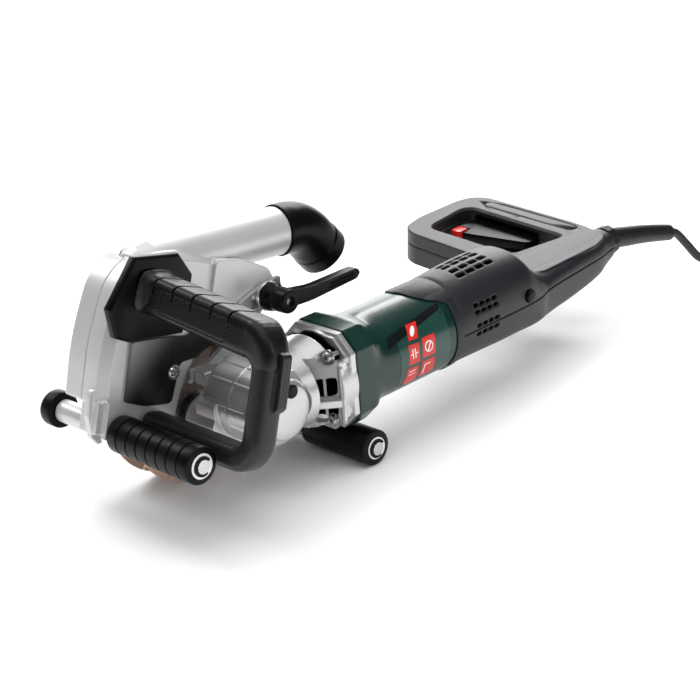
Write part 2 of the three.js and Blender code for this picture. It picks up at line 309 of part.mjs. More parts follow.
  // dished guard plate and its screw
  const gp = roundPoly([[-199, 26], [-199.5, 76.2], [-160, 80.3], [-140, 80.3], [-122, 93], [-98, 93], [-90, 70], [-146, 58], [-150, 23], [-178, 22]], [2, 2, 5, 5, 5, 5, 5, 5, 5, 5], 2);
  let gpm = man(plateX(gp, -15.7, -12.4)); for (const h of sweepHole) gpm = gpm.subtract(man(h)); gpm = gpm.subtract(man(rodX(2.4, -20, 0, -152, 50, 12))).subtract(man(box(-20, 0, -181, -155, -20, 21)));
  const keepBig = gpm.decompose().sort((a, b2) => b2.volume() - a.volume())[0];
  add(gH, 'guard_plate', geo(keepBig), 'castDark');
  add(gH, 'guard_screw', T(S(latheX([[0, -12.1], [6.5, -12.1], [6.5, -11.2], [4, -11.2], [3.6, -8.8], [0, -8.8]], 18), box(-9.6, -8, -0.5, 0.5, -2.4, 2.4)), 0, -152, 50), 'chrome');
  // clamp
  add(gH, 'clamp_stud', T(latheX([[0, -23], [5.2, -23], [5.2, -19], [3.9, -19], [3.9, 20], [0, 20]], 18), 0, -62, 116), 'steel');
  add(gH, 'clamp_washer', tubeX(4.2, 13.5, -6.3, -2.6, -62, 116, 28), 'chrome');
  const hub = latheX([[4.2, -2.2], [12.6, -2.2], [12.6, 3], [10.4, 7], [11.2, 12], [9.6, 24], [4.2, 24]], 24);
  const lv = plateX(roundPoly([[-6, -8], [28, 0.5], [81, 20], [84, 26], [79, 29.5], [27, 13], [-5, 9]], 4, 2), 11, 21);
  add(gH, 'clamp_lever', T(S(U(hub, lv), rodX(4.2, -10, 30, 0, 0, 18)), 0, -62, 116), 'black');
  // swivelling hose elbow
  const ePts = [[0, 0.6, 0], [0, 14, 0], [0, 26, -3], [0, 37, -10], [0, 47, -20], [0, 56, -29]];
  const place = (g) => { g.rotateX(dir); return T(g, HOOD_XM + 0.2, ex, ez); };
  const mk = (r) => place(sweepPath(ePts, circ(0, 0, r, 36)));
  const mouth = (ri, a, b, fine) => { const g = latheY(fine ? [[0, a], [ri, a], [ri, b], [0, b]] : [[0, a], [ri, a], [ri, b], [0, b]], 88); g.rotateX(-Math.PI / 4); return place(T(g, 0, 47, -20)); };
  add(gH, 'hose_elbow', S(U(mk(23.6), mouth(24.2, 1, 15.4)), (() => { const q = ePts.map((v) => [...v]); q[0][1] -= 2; return place(sweepPath(q.slice(0, 6), circ(0, 0, 18.6, 32))); })(), mouth(HOSE_R, -2, 20)), 'black');
}
// tube-like sweep with a constant frame, for paths in a plane holding +X/+Z or +Y/+Z
function sweepPath(path, section) {
  const P = path.map((p) => new THREE.Vector3(...p)); const n = P.length, m = section.length; const pos = [], idx = [];
  let flatX = Math.max(...P.map((p) => p.x)) - Math.min(...P.map((p) => p.x)) < 1e-6; const side = flatX ? new THREE.Vector3(1, 0, 0) : new THREE.Vector3(0, 1, 0);
  for (let i = 0; i < n; i++) {
    const t = new THREE.Vector3().subVectors(P[Math.min(i + 1, n - 1)], P[Math.max(i - 1, 0)]).normalize(); const up = new THREE.Vector3().crossVectors(t, side).normalize();
    for (const [a, b] of section) { const q = P[i].clone().addScaledVector(side, a).addScaledVector(up, b); pos.push(q.x, q.y, q.z); }
  }
  for (let i = 0; i < n - 1; i++) for (let j = 0; j < m; j++) { const a = i * m + j, b = i * m + (j + 1) % m, c = a + m, d = b + m; idx.push(a, b, c, b, d, c); }
  const tri = THREE.ShapeUtils.triangulateShape(v2(section), []);
  for (const [a, b, c] of tri) { idx.push(a, c, b); idx.push((n - 1) * m + a, (n - 1) * m + b, (n - 1) * m + c); }
  const g = new THREE.BufferGeometry(); g.setAttribute('position', new THREE.Float32BufferAttribute(pos, 3)); g.setIndex(idx);
  let vol = 0; const A = new THREE.Vector3(), B = new THREE.Vector3(), C = new THREE.Vector3(), pa = g.attributes.position;
  for (let i = 0; i < idx.length; i += 3) { A.fromBufferAttribute(pa, idx[i]); B.fromBufferAttribute(pa, idx[i + 1]); C.fromBufferAttribute(pa, idx[i + 2]); vol += A.dot(B.cross(C)); }
  if (vol < 0) { for (let i = 0; i < idx.length; i += 3) { const t = idx[i]; idx[i] = idx[i + 1]; idx[i + 1] = t; } g.setIndex(idx); }
  g.computeVertexNormals(); return g;
}

// =============== rear handle (frame: x' across, y along the motor axis, z' normal to the loop) ===============
{
  // cross sections along the axis: [s, x'min, x'max, z'min, z'max, squareness]
  const sec = [[RL0, -41.8, 41.8, -41.8, 41.8, 2], [RL0 + 8, -42, 42, -42, 44, 2], [RL0 + 60, -42.2, 42.2, -42, 46, 2.15], [RL0 + 98, -41.6, 41.6, -41, 44, 2.3], [RL0 + 118, -40, 39, -38.4, 25, 2.7],
    [RL0 + 134, -37, 34, -35, 14.3, 3.4], [RL0 + 190, -31, 27, -30, 14.3, 4], [RL0 + 230, -27, 22.5, -25, 14.3, 3.6], [RL0 + 246, -22, 18.6, -20.4, 14.2, 3], [RL1, -16.6, 16.6, -17, 14, 2.3]];
  const body = loft(sec);
  // loop outline, (x', s); the loop lies towards -x'
  const outer = roundPoly([[0, 330], [-40, 331], [-136, 331], [-151, 340], [-158, 366], [-160, 428], [-155, 446], [-142, 456], [-40, 462], [-18, 462], [12, 455], [20, 430], [22, 344]], [4, 4, 10, 14, 8, 14, 12, 12, 6, 4, 8, 8, 8], 3);
  const hole = roundPoly([[-29, 359], [-127, 355], [-133, 362], [-140, 414], [-134, 423], [-20, 427]], [8, 8, 6, 8, 8, 6], 3);
  const loop = plateZ(outer, -19, 14, [hole], 0);
  let sh = man(body).add(man(loop));
  const cav = loft([[RL0 - 2, -38.2, 38.2, -38.2, 38.2, 2], [RL0 + 60, -38.6, 38.6, -38.4, 42, 2.15], [RL0 + 96, -38, 38, -37.4, 40, 2.3], [RL0 + 116, -36.4, 35.4, -34.6, 21.4, 2.7], [RL0 + 132, -26, 30.4, -31.4, 10.8, 3.2], [RL0 + 190, -17, 23.4, -26.6, 10.8, 3.4], [RL0 + 228, -15, 18.8, -21.4, 10.8, 3]]);
  sh = sh.subtract(man(cav));
  sh = sh.subtract(man(plateZ(hole, -60, 60)));
  // grip pocket for the switch and trigger, cord bore
  sh = sh.subtract(man(plateZ([[-48, 432], [-128, 428], [-128, 443.6], [-48, 447.6]], -9.4, 9.4)));
  sh = sh.subtract(man(plateZ([[-50, 418], [-130.6, 412], [-130.6, 435], [-50, 438]], -7.4, 7.4)));
  sh = sh.subtract(man(rodY(11.4, RL1 - 60, RL1 + 2, 0, 0, 24))).subtract(man(rodY(14.6, RL1 - 0.6, RL1 + 40, 0, 0, 24)));
  // side vents
  for (let i = 0; i < 2; i++) for (let j = 0; j < 4; j++) sh = sh.subtract(man(box(20, 60, RL0 + 44 + j * 8, RL0 + 50 + j * 8, 2 - i * 17, 9 - i * 17)));
  // top vents
  for (let i = 0; i < 5; i++) sh = sh.subtract(man(box(-20, 16, RL0 + 42 + i * 10, RL0 + 47 + i * 10, 24, 60)));
  sh = sh.subtract(man(rodX(6.2, 30, 60, RL0 + 95, 9, 16)));            // handle lock button bore
  // pocket for the grip pad along the rear of the grip
  sh = sh.subtract(man(plateZ([[-132, 452.6], [-40, 458.2], [-40, 480], [-132, 480]], -11, 11)));
  const big = 400;
  const up = sh.intersect(man(box(-big, big, 0, 700, 0.15, big))), lo = sh.intersect(man(box(-big, big, 0, 700, -big, -0.15)));
  const pick = (m) => m.decompose().sort((a, b) => b.volume() - a.volume())[0];
  add(gR, 'handle_shell_upper', geo(pick(up)), 'black');
  add(gR, 'handle_shell_lower', geo(pick(lo)), 'black');
  add(gR, 'grip_pad', plateZ([[-131.6, 453], [-40.4, 458.6], [-41, 463.2], [-131, 457.8]], -10.6, 10.6), 'rubber');
  add(gR, 'trigger', S(plateZ(roundPoly([[-50.4, 408], [-116, 386], [-130.2, 386], [-130.2, 430], [-50.4, 433.6]], [6, 10, 6, 1, 1], 2), -7, 7), plateZ([[-128.2, 380], [-116.8, 380], [-116.8, 400], [-128.2, 400]], -4.4, 4.4)), 'black');
  add(gR, 'switch_module', plateZ([[-48.4, 438.2], [-127.6, 435.4], [-127.6, 443.2], [-48.4, 447.2]], -9, 9), 'castDark');
  add(gR, 'lock_off_button', plateZ(roundPoly([[-127.8, 382], [-117.2, 382], [-117.2, 395.6], [-127.8, 395.6]], [3, 3, 0, 0], 2), -4, 4), 'red');
  add(gR, 'handle_lock_button', T(latheX([[0, 33], [5.9, 33], [5.9, 43.2], [4.9, 44.4], [0, 44.4]], 16), 0, RL0 + 95, 9), 'black');
}
// =============== cord ===============
const FLOOR = -ROLLER_R;                               // height of the floor under the rear axle
{
  const toW = (x, y, z) => new THREE.Vector3(x, y, z).applyAxisAngle(new THREE.Vector3(1, 0, 0), MOTOR_PITCH * D).add(gM.position);
  const add2 = (name, g, m) => add(root, name, g, m);
  // bend protection: a collar held in the shells, then a long taper that droops
  const e = toW(AXIS_X, RL1, 0), q = (a, b) => [AXIS_X, e.y + a, e.z + b];
  const sl = [q(-24, 0), q(-12, 0), q(0, 0), q(12, 0), q(24, -2.2), q(40, -5.6), q(58, -9.4), q(76, -13.6), q(94, -18.2), q(112, -23.2)];
  const rad = [10, 10, 10, 12.6, 10.4, 10, 9.6, 9.2, 8.8, 8.4];
  const P = []; const R = []; sl.forEach((p, i) => { if (i === 3) { P.push([p[0], p[1] - 11.6, p[2]], [p[0], p[1] - 11.5, p[2]], [p[0], p[1] + 0.9, p[2]], [p[0], p[1] + 1, p[2]]); R.push(10, 13.2, 13.2, 10.4); } else { P.push(p); R.push(rad[i]); } });
  add2('cord_sleeve', skin(P, R, 14), 'rubber');
  const C = CORD_ROUTE(q);
  const disc10 = new THREE.Shape(Array.from({ length: 10 }, (_, i) => new THREE.Vector2(CORD_R * Math.cos(i * Math.PI / 5), CORD_R * Math.sin(i * Math.PI / 5))));
  add2('power_cord', U(new THREE.ExtrudeGeometry(disc10, { steps: 15, bevelEnabled: false, extrudePath: new THREE.CatmullRomCurve3(C.map((p) => new THREE.Vector3(...p)), false, 'centripetal') })), 'rubber');
  const cc = COIL(q);
  add2('cord_coil', (() => { const g = latheY([[37, 0.2], [64, 0.2], [66, 3], [66, 33], [62, 36.6], [40, 36.6], [36, 33], [36, 3]], 40); g.rotateX(Math.PI / 2); return T(g, cc[0], cc[1], FLOOR); })(), 'rubber');
  const pl = latheX([[0, -30], [5.2, -30], [7, -14], [13, -10], [19, 2], [19, 20], [17.5, 22], [0, 22]], 28);
  const pins = [rodX(2.35, 20, 41, 9.5, 0, 12), rodX(2.35, 20, 41, -9.5, 0, 12)];
  const plug = U(pl, ...pins); plug.rotateZ(PLUG_TURN * D);
  add2('mains_plug', T(plug, cc[0] + PLUG_AT[0], cc[1] + PLUG_AT[1], FLOOR + 36.9 + 19), 'black');
}
function skin(P, R, seg) { // round body of varying radius along points in a plane of constant x or a gentle curve
  const pts = P.map((p) => new THREE.Vector3(...p)); const n = pts.length; const pos = [], idx = []; let side = new THREE.Vector3(1, 0, 0);
  for (let i = 0; i < n; i++) {
    const t = new THREE.Vector3().subVectors(pts[Math.min(i + 1, n - 1)], pts[Math.max(i - 1, 0)]).normalize();
    side.addScaledVector(t, -side.dot(t)).normalize(); const up = new THREE.Vector3().crossVectors(side, t);
    for (let j = 0; j < seg; j++) { const a = j / seg * 2 * Math.PI; const v = pts[i].clone().addScaledVector(side, R[i] * Math.cos(a)).addScaledVector(up, R[i] * Math.sin(a)); pos.push(v.x, v.y, v.z); }
  }
  for (let i = 0; i < n - 1; i++) for (let j = 0; j < seg; j++) { const a = i * seg + j, b = i * seg + (j + 1) % seg; idx.push(a, b, a + seg, b, b + seg, a + seg); }
  const c0 = pos.length / 3; pos.push(...P[0], ...P[n - 1]);
  for (let j = 0; j < seg; j++) { const b = (j + 1) % seg; idx.push(c0, b, j); idx.push(c0 + 1, (n - 1) * seg + j, (n - 1) * seg + b); }
  const g = new THREE.BufferGeometry(); g.setAttribute('position', new THREE.Float32BufferAttribute(pos, 3));
  let vol = 0; const A = new THREE.Vector3(), B = new THREE.Vector3(), Cc = new THREE.Vector3(), pa = g.attributes.position;
  for (let i = 0; i < idx.length; i += 3) { A.fromBufferAttribute(pa, idx[i]); B.fromBufferAttribute(pa, idx[i + 1]); Cc.fromBufferAttribute(pa, idx[i + 2]); vol += A.dot(B.cross(Cc)); }
  if (vol < 0) for (let i = 0; i < idx.length; i += 3) { const t = idx[i]; idx[i] = idx[i + 1]; idx[i + 1] = t; }
  g.setIndex(idx); g.computeVertexNormals(); return g;
}
// coil centre and the cord's way there, from the sleeve's end (y, z offsets from the handle's cord exit)
function COIL(q) { const p = q(0, 0); return [AXIS_X + 118, p[1] + 262]; }
function CORD_ROUTE(q) {
  const p = q(0, 0), f = FLOOR + CORD_R + 0.35, cc = COIL(q); const out = [];
  const K = [[AXIS_X, p[1] + 112.35, p[2] - 23.3], [AXIS_X, p[1] + 124, p[2] - 27], [AXIS_X + 0.6, p[1] + 142, f + (p[2] - 34 - f) * 0.76], [AXIS_X + 3, p[1] + 166, f + 7.5], [AXIS_X + 8, p[1] + 188, f + 1.2], [AXIS_X + 17, p[1] + 208, f]];
  const tx = cc[0] - 71.2, ty = cc[1] - 4; // alongside the coil's outer turn
  K.push([(K[5][0] + tx) / 2 + 1, (K[5][1] + ty) / 2 - 4, f], [tx, ty, f]);
  const curve = new THREE.CatmullRomCurve3(K.map((k) => new THREE.Vector3(...k)), false, 'centripetal');
  for (let i = 0; i <= 16; i++) { const v = curve.getPointAt(i / 16); out.push([v.x, v.y, Math.max(v.z, f)]); }
  return out;
}
// stand the object on the floor: origin at the middle of the base, measured without the free cord
root.updateMatrixWorld(true);
const cordNames = ['power_cord', 'cord_coil', 'mains_plug', 'cord_sleeve'];
const bb = new THREE.Box3(); root.traverse((o) => { if (o.isMesh && !cordNames.includes(o.name)) { const g = o.geometry.clone().applyMatrix4(o.matrixWorld); g.computeBoundingBox(); bb.union(g.boundingBox); } });
root.position.set(-(bb.min.x + bb.max.x) / 2, -(bb.min.y + bb.max.y) / 2, -bb.min.z);
export default root;
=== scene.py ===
import bpy, bmesh, math, json
import numpy as np
from mathutils import Matrix, Vector


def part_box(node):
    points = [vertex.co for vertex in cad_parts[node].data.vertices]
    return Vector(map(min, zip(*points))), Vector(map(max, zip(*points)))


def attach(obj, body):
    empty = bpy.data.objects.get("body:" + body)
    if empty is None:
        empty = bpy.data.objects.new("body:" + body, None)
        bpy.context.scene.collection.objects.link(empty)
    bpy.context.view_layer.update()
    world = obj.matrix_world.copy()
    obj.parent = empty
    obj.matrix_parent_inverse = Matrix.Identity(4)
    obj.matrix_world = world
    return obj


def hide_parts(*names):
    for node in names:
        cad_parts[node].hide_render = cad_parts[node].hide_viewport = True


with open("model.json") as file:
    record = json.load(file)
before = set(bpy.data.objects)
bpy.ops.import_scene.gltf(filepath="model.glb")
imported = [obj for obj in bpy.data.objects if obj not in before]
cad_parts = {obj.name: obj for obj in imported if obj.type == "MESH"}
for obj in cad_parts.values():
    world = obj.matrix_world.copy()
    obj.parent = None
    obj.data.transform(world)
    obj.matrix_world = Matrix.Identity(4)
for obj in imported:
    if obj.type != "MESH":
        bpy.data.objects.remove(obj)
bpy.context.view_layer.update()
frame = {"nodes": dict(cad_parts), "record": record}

N = frame["nodes"]
D = math.pi / 180
VOX = 0.62          # voxel for cast and moulded pieces, mm
SCN = bpy.context.scene

# ------------------------------------------------------------------ frames (millimetres)
lo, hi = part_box("rear_axle")
T0 = Vector(((lo[0] + hi[0]) * 500 - 4.5, (lo[1] + hi[1]) * 500, (lo[2] + hi[2]) * 500))
BASE, MOT, TILT = -17.69 * D, -0.1 * D, 5 * D
AX, LAY_S, LAY_N, SPY, SPZ = 45.0, 20.4, 18.65, -117.1, 11.5
MW = Matrix.Translation(T0)
MH = MW @ Matrix.Rotation(BASE, 4, "X")
_sp = Matrix.Rotation(BASE, 4, "X") @ Vector((0, SPY, SPZ))
_la = Matrix.Rotation(MOT, 4, "X") @ Vector((0, LAY_S, LAY_N))
MM = Matrix.Translation(T0 + _sp + _la) @ Matrix.Rotation(MOT, 4, "X")
MR = MM @ Matrix.Translation((AX, 0, 0)) @ Matrix.Rotation(TILT, 4, "Y")
SP = (-LAY_S, -LAY_N)
S3 = Matrix.Scale(0.001, 4)

# ------------------------------------------------------------------ camera and cord come first
cam = bpy.data.cameras.new("camera"); camo = bpy.data.objects.new("camera", cam); SCN.collection.objects.link(camo)
R_, U_, B_ = Vector((0.7071, 0.7026, -0.0799)).normalized(), Vector((-0.2209, 0.3268, 0.9189)).normalized(), Vector((0.6717, -0.6321, 0.3863)).normalized()
C_ = T0 + Vector((1085.3, -958.72, 672.69))
rot = Matrix((R_, U_, B_)).transposed().to_4x4()
camo.matrix_world = Matrix.Translation(C_ * 0.001) @ rot
cam.sensor_width = 36; cam.lens = 91.39; cam.clip_start = 0.05; cam.clip_end = 30
SCN.camera = camo

def catmull(P, per=24):
    """centripetal Catmull-Rom through the points, sampled evenly"""
    P = [Vector(p) for p in P]; P = [2 * P[0] - P[1]] + P + [2 * P[-1] - P[-2]]
    out = []
    for i in range(1, len(P) - 2):
        p0, p1, p2, p3 = P[i - 1:i + 3]
        t0 = 0; t1 = t0 + (p1 - p0).length ** 0.5; t2 = t1 + (p2 - p1).length ** 0.5; t3 = t2 + (p3 - p2).length ** 0.5
        for k in range(per):
            t = t1 + (t2 - t1) * k / per
            a1 = p0 * ((t1 - t) / (t1 - t0)) + p1 * ((t - t0) / (t1 - t0)); a2 = p1 * ((t2 - t) / (t2 - t1)) + p2 * ((t - t1) / (t2 - t1)); a3 = p2 * ((t3 - t) / (t3 - t2)) + p3 * ((t - t2) / (t3 - t2))
            b1 = a1 * ((t2 - t) / (t2 - t0)) + a2 * ((t - t0) / (t2 - t0)); b2 = a2 * ((t3 - t) / (t3 - t1)) + a3 * ((t - t1) / (t3 - t1))
            out.append(b1 * ((t2 - t) / (t2 - t1)) + b2 * ((t - t1) / (t2 - t1)))
    out.append(P[-2]); return out

def resample(pts, n):
    L = [0.0]
    for a, b in zip(pts, pts[1:]): L.append(L[-1] + (b - a).length)
    out = []; j = 0
    for i in range(n):
        s = L[-1] * i / (n - 1)
        while j < len(L) - 2 and L[j + 1] < s: j += 1
        t = (s - L[j]) / max(1e-9, L[j + 1] - L[j]); out.append(pts[j].lerp(pts[j + 1], min(1, t)))
    return out

FLOOR = -16.0
EXIT = Matrix.Rotation(MOT, 4, "X") @ Vector((AX, 466, 0)) + _sp + _la      # handle's cord exit, about the rear axle
def E(a, b): return (AX, EXIT.y + a, EXIT.z + b)
CC = (AX + 118, EXIT.y + 262)
CORD_D = 9.0
f_ = FLOOR + 4.85
K = [(AX, EXIT.y + 112.35, EXIT.z - 23.3), (AX, EXIT.y + 124, EXIT.z - 27), (AX + 0.6, EXIT.y + 142, f_ + (EXIT.z - 34 - f_) * 0.76), (AX + 3, EXIT.y + 166, f_ + 7.5), (AX + 8, EXIT.y + 188, f_ + 1.2), (AX + 17, EXIT.y + 208, f_)]
tx, ty = CC[0] - 71.2, CC[1] - 4
K.append(((K[5][0] + tx) / 2 + 1, (K[5][1] + ty) / 2 - 4, f_)); K.append((tx, ty - 14, f_))
lead = catmull(K, 20)
def cordpath(turns):
    P = [p.copy() for p in resample(lead, 24)]
    # run alongside, then into the outermost turn
    radii = [61.3, 52.1, 42.9]; order = []
    for layer in range(4):
        rr = radii if layer % 2 == 0 else radii[::-1]
        order += [(r, f_ + 0.1 + layer * 9.15) for r in rr]
    a_in = 172 * D
    prev_r, prev_z = 71.2, f_
    ang = a_in
    total = turns * 2 * math.pi; step = 2 * math.pi / 26; k = 1
    while k * step <= total:
        a = k * step; i = min(int(a / (2 * math.pi)), len(order) - 1)
        r1, z1 = order[i]; r0, z0 = order[i - 1] if i else (71.2, f_)
        t = min(1, (a - i * 2 * math.pi) / (105 * D)); t = t * t * (3 - 2 * t)
        r, z = r0 + (r1 - r0) * t, z0 + (z1 - z0) * t
        P.append(Vector((CC[0] + r * math.cos(a_in - a), CC[1] + r * math.sin(a_in - a), z))); k += 1
    return P
PLUG_AT, PLUG_TURN = (-19, 38.5), 62 * D
tail = Vector((CC[0] + PLUG_AT[0] - 30 * math.cos(PLUG_TURN), CC[1] + PLUG_AT[1] - 30 * math.sin(PLUG_TURN), FLOOR + 55.9))
hd = Vector((math.cos(PLUG_TURN), math.sin(PLUG_TURN), 0))
def whole(turns):
    P = cordpath(turns); a = P[-1]
    c0 = Vector((CC[0] - 5.2, CC[1] - 14.1, 0)); arc = []
    ph0, ph1 = 160 * D, 62 * D
    for i in range(1, 7):
        ph = ph0 + (ph1 - ph0) * i / 6; q = c0 - Vector((math.sin(ph), -math.cos(ph), 0)) * 37
        arc.append(Vector((q.x, q.y, a.z + (tail.z - a.z) * (0.12 + 0.80 * i / 6))))
    m = 14; z0 = a.z; Q = P[-m:] + arc
    for i, q in enumerate(Q):
        t = (i + 1) / (len(Q) + 1); q.z = z0 + (tail.z - z0) * t * t * (3 - 2 * t)
    P = P[:-m] + Q; P.append(tail - hd * 4); P.append(tail - hd * 0.3)
    return P
def spaced(P, s):
    q = catmull(P, 8); out = [q[0].copy()]; need = s
    for a, b in zip(q, q[1:]):
        L = (b - a).length; u = need
        while u <= L: out.append(a.lerp(b, u / L)); u += s
        need = u - L
    if (out[-1] - q[-1]).length < s * 0.5: out.pop()
    out.append(q[-1].copy()); return out
def circum(a, b, c):
    k = (b - a).cross(c - a).length; return 1e9 if k < 1e-9 else (b - a).length * (c - b).length * (c - a).length / (2 * k)
def relax(P, rmin):
    """eases every place that bends tighter than rmin, leaving both ends as they are"""
    P = spaced(P, 6.0); n = len(P)
    for it in range(400):
        bad = {j for i in range(3, n - 3) if circum(P[i - 3], P[i], P[i + 3]) < rmin for j in range(i - 2, i + 3) if 2 <= j <= n - 3}
        if not bad: break
        new = {j: P[j].lerp((P[j - 1] + P[j + 1]) * 0.5, 0.5) for j in bad}
        for j, v in new.items(): P[j] = v; P[j].z = max(P[j].z, f_)
    return P
def plen(P):
    q = catmull(P, 6); return sum((b - a).length for a, b in zip(q, q[1:]))
base_turns = (172 - 250 + 360) / 360                     # ends at 250 degrees round the coil
best = min((abs(plen(whole(k + base_turns)) - 4000), k) for k in range(8, 12))
CP = relax(whole(best[1] + base_turns), 38.6)
cu = bpy.data.curves.new("mains_lead", "CURVE"); cu.dimensions = "3D"; cu.bevel_depth = CORD_D / 2000; cu.bevel_resolution = 5; cu.resolution_u = 4; cu.use_fill_caps = True
sp = cu.splines.new("NURBS"); sp.points.add(len(CP) - 1)
fine = CP
for i, p in enumerate(fine): q = (MW @ p) * 0.001; sp.points[i].co = (q.x, q.y, q.z, 1)
sp.use_endpoint_u = True; sp.order_u = 3
lead_o = bpy.data.objects.new("mains_lead", cu); SCN.collection.objects.link(lead_o)

# ------------------------------------------------------------------ mesh helpers, all in mm
def mesh_ob(name, v, f):
    me = bpy.data.meshes.new(name); me.from_pydata([tuple(p) for p in v], [], [tuple(q) for q in f]); me.validate(); me.update()
    bm = bmesh.new(); bm.from_mesh(me); bmesh.ops.remove_doubles(bm, verts=bm.verts, dist=1e-4); bmesh.ops.recalc_face_normals(bm, faces=bm.faces)
    if bm.calc_volume() < 0: bmesh.ops.reverse_faces(bm, faces=bm.faces)
    bm.to_mesh(me); bm.free()
    o = bpy.data.objects.new(name, me); SCN.collection.objects.link(o); return o

def lathe(pr, seg=72, axis="Y", at=(0, 0, 0)):
    v, f = [], []; rings = []
    closed = not (pr[0][0] == 0 and pr[-1][0] == 0)
    for r, a in pr:
        if r == 0: v.append((0, a, 0)); rings.append([len(v) - 1])
        else:
            s0 = len(v); v += [(r * math.cos(2 * math.pi * j / seg), a, r * math.sin(2 * math.pi * j / seg)) for j in range(seg)]; rings.append(list(range(s0, s0 + seg)))
    pairs = list(zip(rings, rings[1:])) + ([(rings[-1], rings[0])] if closed else [])
    for a, b in pairs:
        for j in range(seg):
            k = (j + 1) % seg
            if len(a) == 1 and len(b) == 1: continue
            if len(a) == 1: f.append((a[0], b[j], b[k]))
            elif len(b) == 1: f.append((a[j], b[0], a[k]))
            else: f.append((a[j], b[j], b[k], a[k]))
    v = np.array(v)
    if axis == "X": v = v[:, [1, 2, 0]]
    if axis == "Z": v = v[:, [2, 0, 1]]
    return mesh_ob("l", v + np.array(at), f)

def rod(r, a0, a1, axis="X", at=(0, 0, 0), seg=48): return lathe([(0, a0), (r, a0), (r, a1), (0, a1)], seg, axis, at)
def tube(ri, ro, a0, a1, axis="X", at=(0, 0, 0), seg=64): return lathe([(ri, a0), (ro, a0), (ro, a1), (ri, a1)], seg, axis, at)

def prism(pts, a0, a1, axis="X"):
    n = len(pts); v = []
    for a in (a0, a1):
        for p, q in pts: v.append({"X": (a, p, q), "Y": (p, a, q), "Z": (p, q, a)}[axis])
    f = [tuple(range(n)), tuple(range(n, 2 * n))[::-1]] + [(i, (i + 1) % n, n + (i + 1) % n, n + i) for i in range(n)]
    o = mesh_ob("p", v, f); bm = bmesh.new(); bm.from_mesh(o.data); bmesh.ops.triangulate(bm, faces=[q for q in bm.faces if len(q.verts) > 4]); bm.to_mesh(o.data); bm.free(); return o

def box(x0, x1, y0, y1, z0, z1): return prism([(y0, z0), (y1, z0), (y1, z1), (y0, z1)], x0, x1)

def rp(pts, r, n=8):
    out = []; m = len(pts)
    for i in range(m):
        p, a, b = Vector(pts[i]), Vector(pts[i - 1]), Vector(pts[(i + 1) % m]); rr = r[i] if isinstance(r, (list, tuple)) else r
        k = min(rr, (a - p).length * 0.48, (b - p).length * 0.48)
        if k < 0.05: out.append(tuple(p)); continue
        A, B = p + (a - p).normalized() * k, p + (b - p).normalized() * k
        for j in range(n + 1):
            t = j / n; q = A * (1 - t) ** 2 + p * 2 * t * (1 - t) + B * t * t; out.append((q.x, q.y))
    return out

def sup(a, b, n=3.0, m=40, cx=0, cy=0):
    return [(cx + a * math.copysign(abs(math.cos(t)) ** (2 / n), math.cos(t)), cy + b * math.copysign(abs(math.sin(t)) ** (2 / n), math.sin(t))) for t in [2 * math.pi * j / m for j in range(m)]]

def sweep(path, sec, side=None):
    """sec is a section, or a function of the share of the way along that gives one"""
    P = [Vector(p) for p in path]; n = len(P); v = []; L = [0]
    for a, b in zip(P, P[1:]): L.append(L[-1] + (b - a).length)
    s0 = Vector(side) if side else None; prev = None
    for i in range(n):
        t = (P[min(i + 1, n - 1)] - P[max(i - 1, 0)]).normalized()
        if s0 is not None: s = s0
        else:
            s = prev if prev is not None else (Vector((1, 0, 0)) if abs(t.x) < 0.9 else Vector((0, 1, 0)))
            s = (s - t * s.dot(t)).normalized(); prev = s
        up = t.cross(s).normalized(); q = sec(L[i] / L[-1]) if callable(sec) else sec
        v += [P[i] + s * a + up * b for a, b in q]
    m = len(q); f = []
    for i in range(n - 1):
        for j in range(m): k = (j + 1) % m; f.append((i * m + j, i * m + k, (i + 1) * m + k, (i + 1) * m + j))
    f.append(tuple(range(m))[::-1]); f.append(tuple(range((n - 1) * m, n * m)))
    return mesh_ob("s", v, f)

def loft(secs, m=72, sub=6):
    """sections [y, x0, x1, z0, z1, squareness], eased between"""
    A = np.array(secs, float); ys = []
    for i in range(len(A) - 1): ys += [A[i, 0] + (A[i + 1, 0] - A[i, 0]) * k / sub for k in range(sub)]
    ys.append(A[-1, 0]); ys = np.array(ys)
    # monotone cubic easing
    from_cols = [pchip(A[:, 0], A[:, c], ys) for c in range(1, 6)]
    v, f = [], []
    for i, y in enumerate(ys):
        x0, x1, z0, z1, n = (c[i] for c in from_cols); e = 2 / n
        for j in range(m):
            t = 2 * math.pi * j / m; c, s = math.cos(t), math.sin(t)
            v.append(((x0 + x1) / 2 + (x1 - x0) / 2 * math.copysign(abs(c) ** e, c), y, (z0 + z1) / 2 + (z1 - z0) / 2 * math.copysign(abs(s) ** e, s)))
    for i in range(len(ys) - 1):
        for j in range(m): k = (j + 1) % m; f.append((i * m + j, i * m + k, (i + 1) * m + k, (i + 1) * m + j))
    f.append(tuple(range(m))[::-1]); f.append(tuple(range((len(ys) - 1) * m, len(ys) * m)))
    return mesh_ob("lo", v, f)

def pchip(x, y, q):
    h = np.diff(x); d = np.diff(y) / h; m = np.zeros(len(x)); m[0], m[-1] = d[0], d[-1]
    for i in range(1, len(x) - 1):
        if d[i - 1] * d[i] > 0: w1, w2 = 2 * h[i] + h[i - 1], h[i] + 2 * h[i - 1]; m[i] = (w1 + w2) / (w1 / d[i - 1] + w2 / d[i])
    i = np.clip(np.searchsorted(x, q, side="right") - 1, 0, len(x) - 2); t = (q - x[i]) / h[i]
    return (1 + 2 * t) * (1 - t) ** 2 * y[i] + t * (1 - t) ** 2 * h[i] * m[i] + t * t * (3 - 2 * t) * y[i + 1] + t * t * (t - 1) * h[i] * m[i + 1]

